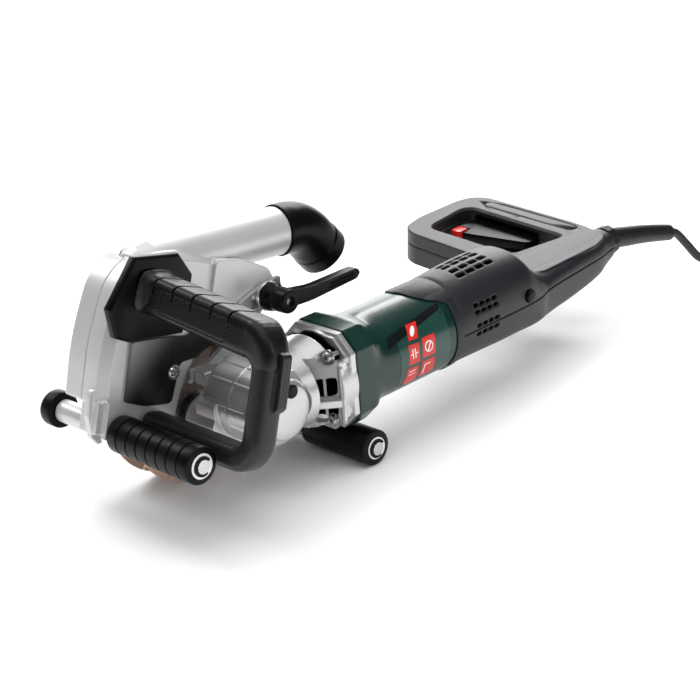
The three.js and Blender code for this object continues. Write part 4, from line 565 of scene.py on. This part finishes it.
# painted shade: faces on the slanted near face take the darker head copy (slot 1)
for p in gh.data.polygons:
    c = inv_ @ Vector(p.center); nn = R3 @ Vector(p.normal)
    if c.x > 60 and 36 < c.y < 58.4 and -46 < c.z < 30 and (nn.x * 0.719 - nn.y * 0.695) > 0.25 and abs((c.x - 61.8) * 0.719 - (c.y - 36) * 0.695) < 3.0: p.material_index = 1
    # painted shade: faces inside the recess across the neck top are coloured near black (slot 2)
    rr_ = math.hypot(c.x - AX, c.z)
    if c.z > 23 and 57.0 < c.y < 66.2 and rr_ < 41.0 and rr_ > 30: p.material_index = 2
for i, (dx, dn) in enumerate(SCR):
    s = lathe([(0, 51.6), (3.9, 51.6), (4.4, 52.2), (4.4, 55.2), (6.0, 55.4), (6.0, 56.2), (2.2, 56.2), (2.2, 74), (0, 74)], 40, "Y", (AX + dx, 0, dn))
    s = cut(s, prism([(AX + dx + (2.3 if k % 2 else 1.5) * math.cos(k * 30 * D), dn + (2.3 if k % 2 else 1.5) * math.sin(k * 30 * D)) for k in range(12)], 50, 54, "Y"))
    piece(s, "Head_screw_%d" % (i + 1), MM, "housing_screw_%d" % (i + 1), M_STEEL)
cv = lathe([(0, 74.4), (27, 74.4), (26.2, 76.5), (23, 80), (16, 82), (0, 82.4)], 96, "X"); cv = cut(cv, rod(3.4, 60, 100, "X", (0, -2, 22)))
piece(bev(cv, 0.5, 2, 20), "Gear_cover", MM, "gear_cover", M_HEAD)
piece(bev(lathe([(0, 66), (2.9, 66), (2.9, 86), (6, 86), (6, 89.4), (5, 90.6), (0, 90.6)], 48, "X", (0, -2, 22)), 0.3, 2), "Lock_button", MM, "spindle_lock_button", M_BLACK2)
# depth segment
def arc(r, a, b2, n=40): return [(ry + r * math.cos((a + (b2 - a) * i / n) * D), rz + r * math.sin((a + (b2 - a) * i / n) * D)) for i in range(n + 1)]
off = (MOT - BASE) / D; a0, a1 = 118.1 - 3.2 - off, 118.1 + 18.3 - off; R0 = 131.5
sg = prism(arc(R0 + 10, a0 - 4.5, a1 + 4.5) + arc(R0 - 10, a0 - 4.5, a1 + 4.5)[::-1], -11.4, -6.7)
strut = both(prism(arc(R0 - 8, a0 + 5, a1 - 3, 12) + [(-30, 15), (6, 15)], -11.4, -6.7), box(-12, -6, -80, 60, 14.5, 120))
sg = join(sg, strut, box(-11.4, -6.4, -26, 8, 14.5, 25.5)); sg = cut(sg, prism(arc(R0 + 4.4, a0, a1) + arc(R0 - 4.4, a0, a1)[::-1], -20, 0), rod(1.6, -14, 0, "X", (0, -20, 20)), rod(1.6, -14, 0, "X", (0, 2, 20)))
piece(bev(sg, 0.5, 2), "Depth_segment", MM, "depth_segment", M_HEAD)

# ------------------------------------------------------------------ motor housing
def ringsec(t, r_oct, r_c):
    """meant as a blend of chamfered square and circle at angle-sampled points; as written it returns an empty list"""
    out = []
    return out
m_ = 144
def collar(y0, y1, k0, k1, c0):
    pass
def housing():
    v, f = [], []; H, Vv, Cc = 44.6, 46.2, 17.0
    def octr(th, h, vv, c):
        dx, dz = math.cos(th), math.sin(th); t = 1e9
        if abs(dx) > 1e-9: t = min(t, h / abs(dx))
        if abs(dz) > 1e-9: t = min(t, vv / abs(dz))
        t = min(t, (h + vv - c) / (abs(dx) + abs(dz))); return t
    ys = [76, 76.6, 80, 86, 92, 94, 96, 98, 100, 102, 104, 106, 108, 110, 113, 116, 124, 140, 170, 206.4, 207]; m = 192
    for y in ys:
        k = np.interp(y, [76, 94, 98, 104, 110, 116], [1, 0.98, 0.86, 0.38, 0.08, 0]); s = np.interp(y, [76, 76.6, 206.4, 207], [0.985, 1, 1, 0.99])
        for j in range(m):
            th = 2 * math.pi * j / m; r = octr(th, 41.6, 44.4, 15.5); rr = (41.6 * (1 - k) + r * k) * s; v.append((AX + rr * math.cos(th), y, rr * math.sin(th)))
    n = len(ys)
    inner = [(38.2, 207), (38.2, 82), (37.0, 76)]
    for r, y in inner:
        for j in range(m): th = 2 * math.pi * j / m; v.append((AX + r * math.cos(th), y, r * math.sin(th)))
    T_ = n + len(inner)
    for i in range(T_):
        i2 = (i + 1) % T_
        for j in range(m): k = (j + 1) % m; f.append((i * m + j, i * m + k, i2 * m + k, i2 * m + j))
    return mesh_ob("mh", v, f)
hs = housing()
hs = join(hs, both(box(AX - 39.5, AX + 39.5, 190, 196, -5, 5), rod(38.6, 180, 200, "Y", (AX, 0, 0))), tube(9.7, 13, 186, 196, "Y", (AX, 0, 0)))
hs = cut(hs, rod(9.7, 180, 200, "Y", (AX, 0, 0)))
piece(hs, "Motor_housing", MM, "motor_housing", M_GREEN, angle=24)

# ------------------------------------------------------------------ rear handle
A0, A1 = 207.4, 466.0
sec = [[A0, -41.8, 41.8, -41.8, 41.8, 2], [A0 + 8, -42, 42, -42, 44, 2], [A0 + 60, -42.2, 42.2, -42, 46, 2.15], [A0 + 98, -41.6, 41.6, -41, 44, 2.3], [A0 + 118, -40, 39, -38.4, 25, 2.7],
       [A0 + 134, -37, 34, -35, 14.3, 3.4], [A0 + 190, -31, 27, -30, 14.3, 4], [A0 + 230, -27, 22.5, -25, 14.3, 3.6], [A0 + 246, -22, 18.6, -20.4, 14.2, 3], [A1, -16.6, 16.6, -17, 14, 2.3]]
body = loft(sec, 96, 5)
out2 = rp([(0, 330), (-40, 331), (-136, 331), (-151, 340), (-158, 366), (-160, 428), (-155, 446), (-142, 456), (-40, 462), (-18, 462), (12, 455), (20, 430), (22, 344)], [4, 4, 12, 16, 8, 14, 14, 14, 6, 4, 8, 8, 8], 8)
hole = rp([(-29, 359), (-127, 355), (-133, 362), (-140, 414), (-134, 423), (-20, 427)], [9, 9, 6, 8, 8, 7], 8)
loopo = bev(prism(out2, -19, 14, "Z"), 3.4, 3, 40)
hw = [Vector(q) for q in hole]; hc = sum(hw, Vector((0, 0))) / len(hw)
def scaled(pts, k):
    P = [Vector(q) for q in pts]; n = len(P); ar = sum(P[i].x * P[(i + 1) % n].y - P[(i + 1) % n].x * P[i].y for i in range(n)); o_ = []
    for i in range(n): d = (P[(i + 1) % n] - P[i - 1]).normalized(); o_.append(tuple(P[i] + Vector((d.y, -d.x)) * (k if ar > 0 else -k)))
    return o_
sh = join(body, loopo)
cav = loft([[A0 - 2, -38.2, 38.2, -38.2, 38.2, 2], [A0 + 60, -38.6, 38.6, -38.4, 42, 2.15], [A0 + 96, -38, 38, -37.4, 40, 2.3], [A0 + 116, -36.4, 35.4, -34.6, 21.4, 2.7], [A0 + 132, -26, 30.4, -31.4, 10.8, 3.2], [A0 + 190, -17, 23.4, -26.6, 10.8, 3.4], [A0 + 228, -15, 18.8, -21.4, 10.8, 3]], 96, 4)
sh = cut(sh, cav, prism(hole, -60, 60, "Z"), prism(scaled(hole, 2.0), 12.2, 60, "Z"))
sh = cut(sh, prism([(-48, 432), (-128, 428), (-128, 443.6), (-48, 447.6)], -9.4, 9.4, "Z"), prism([(-50, 418), (-130.6, 412), (-130.6, 435), (-50, 438)], -7.4, 7.4, "Z"), rod(11.4, A1 - 60, A1 + 2, "Y", seg=64), rod(14.6, A1 - 0.6, A1 + 40, "Y", seg=64))
# vents: side louvres in two banks, a grid on the hump, and the latch seam
for z0, z1 in ((20.0, 23.4), (14.4, 17.8), (2.0, 5.6), (-6.4, -2.6)):
    sh = cut(sh, *[box(20, 60, 228 + j * 8, 234.6 + j * 8, z0, z1) for j in range(4)])
for a_ in (106, 97, 84, 73):
    for j in range(4):
        k = box(34, 60, 232 + j * 12.4, 242 + j * 12.4, -2.3, 2.3); spin(k, -a_ * D, "Y"); sh = cut(sh, k)
sh = cut(sh, *[both(q, tube(41.9, 60, 240, 300, "Y", seg=96)) for q in (box(20, 60, 272, 273, 1, 20), box(20, 60, 264.5, 273, 19.2, 20.2), box(20, 60, 262.5, 273, 0.6, 1.6))])
sh = cut(sh, rod(6.2, 30, 60, "X", (0, A0 + 95, 9)), prism([(-132, 452.6), (-40, 458.2), (-40, 480), (-132, 480)], -11, 11, "Z"))
up = both(copy(sh), box(-400, 400, 0, 700, 0.12, 400)); dn_ = both(sh, box(-400, 400, 0, 700, -400, -0.12))
dn_ = join(dn_, prism([(-54, 402), (-112, 392), (-131.5, 396), (-131.5, 430), (-54, 432)], -17.5, -9.4, "Z"))
up = vox(up, 0.85, 3); dn_ = vox(dn_, 0.85, 3)
# fine line round the soft inlay on the loop's upper face
IL = [(-129.6, 447.5), (-100, 450.5), (-60, 453.5), (-26, 455), (-21, 452), (-22, 444), (-26, 441.5), (-81.9, 437.5), (-125.6, 434.5), (-131, 437.5), (-132.5, 444)]; seg_ = []
for i in range(len(IL)):
    a_, b_ = Vector(IL[i]), Vector(IL[(i + 1) % len(IL)]); d_ = (b_ - a_).normalized(); n_ = Vector((-d_.y, d_.x)) * 0.5; a_ = a_ - d_ * 0.3; b_ = b_ + d_ * 0.3
    seg_.append(prism([tuple(a_ + n_), tuple(b_ + n_), tuple(b_ - n_), tuple(a_ - n_)], 11.7, 20, "Z"))
up = cut(up, *seg_)
piece(up, "Handle_upper", MR, "handle_shell_upper", M_BLACK, angle=0)
piece(dn_, "Handle_lower", MR, "handle_shell_lower", M_BLACK, angle=0)
piece(bev(prism([(-131.6, 453), (-40.4, 458.6), (-41, 463.2), (-131, 457.8)], -10.6, 10.6, "Z"), 1.2, 3), "Grip_pad", MR, "grip_pad", M_GRIP)
tr = cut(prism(rp([(-50.4, 411), (-112, 388), (-130.2, 386), (-130.2, 430), (-50.4, 433.6)], [6, 16, 7, 1, 1], 6), -7, 2.5, "Z"), prism([(-128.2, 380), (-116.8, 380), (-116.8, 400), (-128.2, 400)], -4.4, 4.4, "Z"))
piece(bev(tr, 2.0, 4), "Trigger", MR, "trigger", M_BLACK2)
piece(bev(prism(rp([(-127.8, 382), (-117.2, 382), (-117.2, 395.6), (-127.8, 395.6)], [3, 3, 0, 0], 5), -4, 4, "Z"), 0.7, 2), "Lock_off", MR, "lock_off_button", M_RED)
piece(bev(lathe([(0, 33), (5.9, 33), (5.9, 43.2), (4.9, 44.4), (0, 44.4)], 48, "X", (0, A0 + 95, 9)), 0.3, 2), "Handle_lock", MR, "handle_lock_button", M_BLACK2)

# shell front ring with the tongue over the barrel
m = 192; v, f = [], []
AN = [0, 48, 56, 62, 68, 80, 100, 120, 132, 144, 150, 360]; YN = [201, 201, 193, 184, 179.5, 173, 169, 173, 181, 194, 201, 201]
for r_, kind in ((42.27, 0), (42.8, 0), (43.3, 1.2), (43.1, 2), (42.27, 2)):
    for j in range(m):
        t = 360 * j / m; y0 = np.interp(t, AN, YN); k = 1.0 if (50 < t < 148) else 0.45; rr = 42.27 + (r_ - 42.27) * (0.35 + 0.65 * k)
        y = y0 if kind == 0 else (y0 + 1.2 if kind == 1.2 else 209.5); v.append((rr * math.cos(t * D), y, rr * math.sin(t * D)))
for i in range(5):
    for j in range(m): k = (j + 1) % m; i2 = (i + 1) % 5; f.append((i * m + j, i * m + k, i2 * m + k, i2 * m + j))
extra(mesh_ob("col", v, f), "Shell_front_ring", MR, "rear_handle", M_BLACK, "black_plastic", 30)

def patch(P, r0, r1, n=6):
    """thin plate wrapped on the barrel; P holds (along, degrees) points round a convex outline"""
    Q = []
    for i in range(len(P)):
        a, b = P[i], P[(i + 1) % len(P)]; Q += [(a[0] + (b[0] - a[0]) * k / 8, a[1] + (b[1] - a[1]) * k / 8) for k in range(8)]
    c = (sum(q[0] for q in Q) / len(Q), sum(q[1] for q in Q) / len(Q)); M_ = len(Q); v, f = [], []
    for r in (r1, r0):
        for k in range(n, 0, -1):
            for q in Q: y, t = c[0] + (q[0] - c[0]) * k / n, (c[1] + (q[1] - c[1]) * k / n) * D; v.append((AX + r * math.cos(t), y, r * math.sin(t)))
        v.append((AX + r * math.cos(c[1] * D), c[0], r * math.sin(c[1] * D)))
    S = n * M_ + 1
    for s_ in (0, 1):
        for k in range(n - 1):
            for j in range(M_): j2 = (j + 1) % M_; f.append((s_ * S + k * M_ + j, s_ * S + k * M_ + j2, s_ * S + (k + 1) * M_ + j2, s_ * S + (k + 1) * M_ + j))
        for j in range(M_): f.append((s_ * S + (n - 1) * M_ + j, s_ * S + (n - 1) * M_ + (j + 1) % M_, s_ * S + n * M_))
    for j in range(M_): j2 = (j + 1) % M_; f.append((j, j2, S + j2, S + j))
    return mesh_ob("pt", v, f)
extra(patch([(128, -34), (128, 33), (192, 43), (192, -34)], 41.4, 41.86), "Barrel_panel", MM, "motor_unit", M_LABEL, "green_plastic", 30)
extra(patch([(116, 22), (121, 36), (193, 50), (190, 41)], 41.4, 41.96), "Barrel_stripe", MM, "motor_unit", M_STRIPE, "black_plastic", 30)
SQ = [[(141.5, 21), (145.5, 40.5), (158.5, 40), (153, 20)], [(137.5, -8.5), (139.5, 16.5), (152, 15), (151, -9)], [(135, -38), (136.5, -13), (150, -13.5), (152, -40)], [(155, -7.5), (157, 18), (173, 17.5), (171, -7.5)], [(154.5, -37), (155, -12), (171, -12), (174, -37)]]
for i, q in enumerate(SQ): extra(patch(q, 41.4, 42.02), "Panel_square_%d" % (i + 1), MM, "motor_unit", M_RED, "red_plastic", 30)
def oval(y, t, a, b, rot=0.0): return [(y + a * math.cos(u) * math.cos(rot) - b * math.sin(u) * math.sin(rot), t + (a * math.cos(u) * math.sin(rot) + b * math.sin(u) * math.cos(rot)) / 0.729) for u in np.linspace(0, 2 * math.pi, 20, endpoint=False)]
def barp(y0, t0, y1, t1, w): d = Vector((y1 - y0, (t1 - t0) * 0.729)).normalized() * w; nrm = Vector((-d.y, d.x / 0.729)); return [(y0 + nrm.x, t0 + nrm.y / 1), (y1 + nrm.x, t1 + nrm.y), (y1 - nrm.x, t1 - nrm.y), (y0 - nrm.x, t0 - nrm.y)]
PICT = [oval(149.5, 30.5, 5.2, 2.4, 0.9), barp(143.4, -2, 143.4, 10, 0.6), barp(146.4, -2, 146.4, 10, 0.6), barp(140.4, 4, 143.4, 4, 0.5), barp(146.4, 4, 149.4, 4, 0.5), barp(159, -32, 159, -18, 0.6), barp(159, -18, 166, -18, 0.6), barp(138.8, -18.5, 147.4, -18.5, 0.4), barp(138.8, -23.5, 147.4, -23.5, 0.4)]
for i, q in enumerate(PICT): extra(patch(q, 41.6, 42.10, 3), "Panel_mark_%d" % (i + 1), MM, "motor_unit", M_WHITE, "red_plastic", 30)
for i, (rr_, w_) in enumerate(((5.2, 0.8),)):
    o = oval(163.8, 5, rr_, rr_); extra(patch(o, 41.6, 42.08, 4), "Panel_disc", MM, "motor_unit", M_WHITE, "red_plastic", 30); extra(patch(oval(163.8, 5, rr_ - 1.2, rr_ - 1.2), 41.6, 42.13, 4), "Panel_disc_in", MM, "motor_unit", M_RED, "red_plastic", 30); extra(patch(barp(162, 0, 166, 9, 0.7), 41.6, 42.18, 3), "Panel_disc_bar", MM, "motor_unit", M_WHITE, "red_plastic", 30)

# ------------------------------------------------------------------ cord sleeve, lead and plug
slp = [E(-24, 0), E(-12, 0), E(0.3, 0)]
tp = catmull([E(13.2, -0.2), E(24, -2.2), E(40, -5.6), E(58, -9.4), E(76, -13.6), E(94, -18.2), E(112, -23.2)], 8)
sv = sweep([Vector(E(-24, 0)), Vector(E(0.6, 0))], ring(10.0), side=(1, 0, 0))
hexr = lambda r: [(r * math.cos(t), r * math.sin(t)) for t in np.linspace(0, 2 * math.pi, 6, endpoint=False)]
col = lathe([(0, 0.5), (15.2, 0.5), (15.2, 10.4), (12.4, 13.0), (0, 13.6)], 12, "Y", (AX, EXIT.y, EXIT.z))
tp3 = [Vector((p.x, p.y, p.z)) for p in tp]
sv = join(sv, col, sweep([Vector(E(8, 0))] + tp3, lambda t: [(a * (10.8 - 2.4 * t), b_ * (10.8 - 2.4 * t)) for a, b_ in ring(1.0)], side=(1, 0, 0)))
piece(vox(sv, 0.6, 2, 60000), "Cord_sleeve", MW, "cord_sleeve", M_CORD, angle=0)
lead_o.data.materials.append(M_CORD)
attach(lead_o, "motor_unit"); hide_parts("power_cord", "cord_coil")
pl = lathe([(0, -30), (5.2, -30), (5.6, -26), (5.2, -25), (5.9, -20), (5.5, -19), (6.6, -14), (13, -10), (19, 2), (19, 20), (17.5, 22), (0, 22)], 64, "X")
pl = join(pl, rod(2.35, 20, 41, "X", (0, 9.5, 0), 32), rod(2.35, 20, 41, "X", (0, -9.5, 0), 32))
spin(pl, PLUG_TURN, "Z"); move(pl, CC[0] + PLUG_AT[0], CC[1] + PLUG_AT[1], FLOOR + 55.9)
plug = piece(bev(pl, 0.3, 2), "Mains_plug", MW, "mains_plug", M_CORD)
ex = (S3 @ MW) @ Vector(K[0])

# ------------------------------------------------------------------ floor, light
fl_ = bpy.data.meshes.new("floor"); fl_.from_pydata([(-6, -6, 0), (6, -6, 0), (6, 6, 0), (-6, 6, 0)], [], [(0, 1, 2, 3)]); flo = bpy.data.objects.new("floor", fl_); SCN.collection.objects.link(flo)
mf = mat("floor_pale", (0.90, 0.90, 0.90), 0.7, 0.0, var=0.01, bump=0.0); fl_.materials.append(mf)
w = bpy.data.worlds.new("world"); SCN.world = w; w.use_nodes = True; nt = w.node_tree; n, l = nt.nodes, nt.links
bg = n["Background"]; tc = n.new("ShaderNodeTexCoord"); sx = n.new("ShaderNodeSeparateXYZ"); l.new(tc.outputs["Generated"], sx.inputs[0])
rp_ = n.new("ShaderNodeValToRGB"); e0, e1 = rp_.color_ramp.elements; e0.position = 0.0; e0.color = (0.02, 0.02, 0.02, 1); e1.position = 1.0; e1.color = (1.25, 1.25, 1.25, 1); em = rp_.color_ramp.elements.new(0.35); em.color = (0.06, 0.06, 0.065, 1); em = rp_.color_ramp.elements.new(0.72); em.color = (0.16, 0.16, 0.165, 1); em = rp_.color_ramp.elements.new(0.86); em.color = (0.80, 0.80, 0.80, 1)
l.new(sx.outputs[2], rp_.inputs[0]); lp = n.new("ShaderNodeLightPath"); mx = n.new("ShaderNodeMixRGB"); mx.inputs[1].default_value = (0.66, 0.66, 0.66, 1); l.new(lp.outputs["Is Glossy Ray"], mx.inputs[0]); 
def softbox(prev, P, nrm, c_in, c_out, power):
    Pw = Vector(P); dv = (Pw - C_ * 0.001).normalized(); nn = Vector(nrm).normalized(); R0 = dv - 2 * dv.dot(nn) * nn
    dt = n.new("ShaderNodeVectorMath"); dt.operation = "DOT_PRODUCT"; l.new(tc.outputs["Generated"], dt.inputs[0]); dt.inputs[1].default_value = R0
    mr = n.new("ShaderNodeMapRange"); mr.interpolation_type = "SMOOTHSTEP"; mr.inputs["From Min"].default_value = c_out; mr.inputs["From Max"].default_value = c_in; mr.inputs["To Max"].default_value = power; l.new(dt.outputs["Value"], mr.inputs["Value"])
    ad = n.new("ShaderNodeMixRGB"); ad.blend_type = "ADD"; ad.inputs[0].default_value = 1; l.new(prev, ad.inputs[1]); l.new(mr.outputs[0], ad.inputs[2]); return ad.outputs[0]
gl = softbox(rp_.outputs[0], (0.03, 0.22, 0.12), (-0.30, -0.16, 1), 0.97, 0.84, 3.2)
gl = softbox(gl, (-0.02, -0.2, 0.10), (-0.25, -1.0, 0.30), 0.95, 0.80, 0.25)
l.new(gl, mx.inputs[2]); l.new(mx.outputs[0], bg.inputs[0]); bg.inputs[1].default_value = 1.0
def area(name, loc, target, size, power, sy=None):
    l = bpy.data.lights.new(name, "AREA"); l.energy = power; l.size = size; l.shape = "RECTANGLE"; l.size_y = sy or size
    o = bpy.data.objects.new(name, l); SCN.collection.objects.link(o); o.location = loc; d = (Vector(target) - Vector(loc)); o.rotation_euler = d.to_track_quat("-Z", "Y").to_euler(); return o
ov = area("overhead", (-0.2, 0.3, 2.2), (0, 0.1, 0), 3.2, 54); ov.visible_glossy = False
area("key", (-1.1, -0.35, 1.25), (0, 0, 0.05), 0.4, 7.5, 1.0)
area("rim", (-0.9, 1.7, 1.5), (0, 0.1, 0.1), 1.0, 17, 0.5)
area("side", (1.5, 0.5, 0.8), (0, 0.1, 0.1), 0.35, 2.5, 0.9)
SCN.view_settings.view_transform = "Standard"
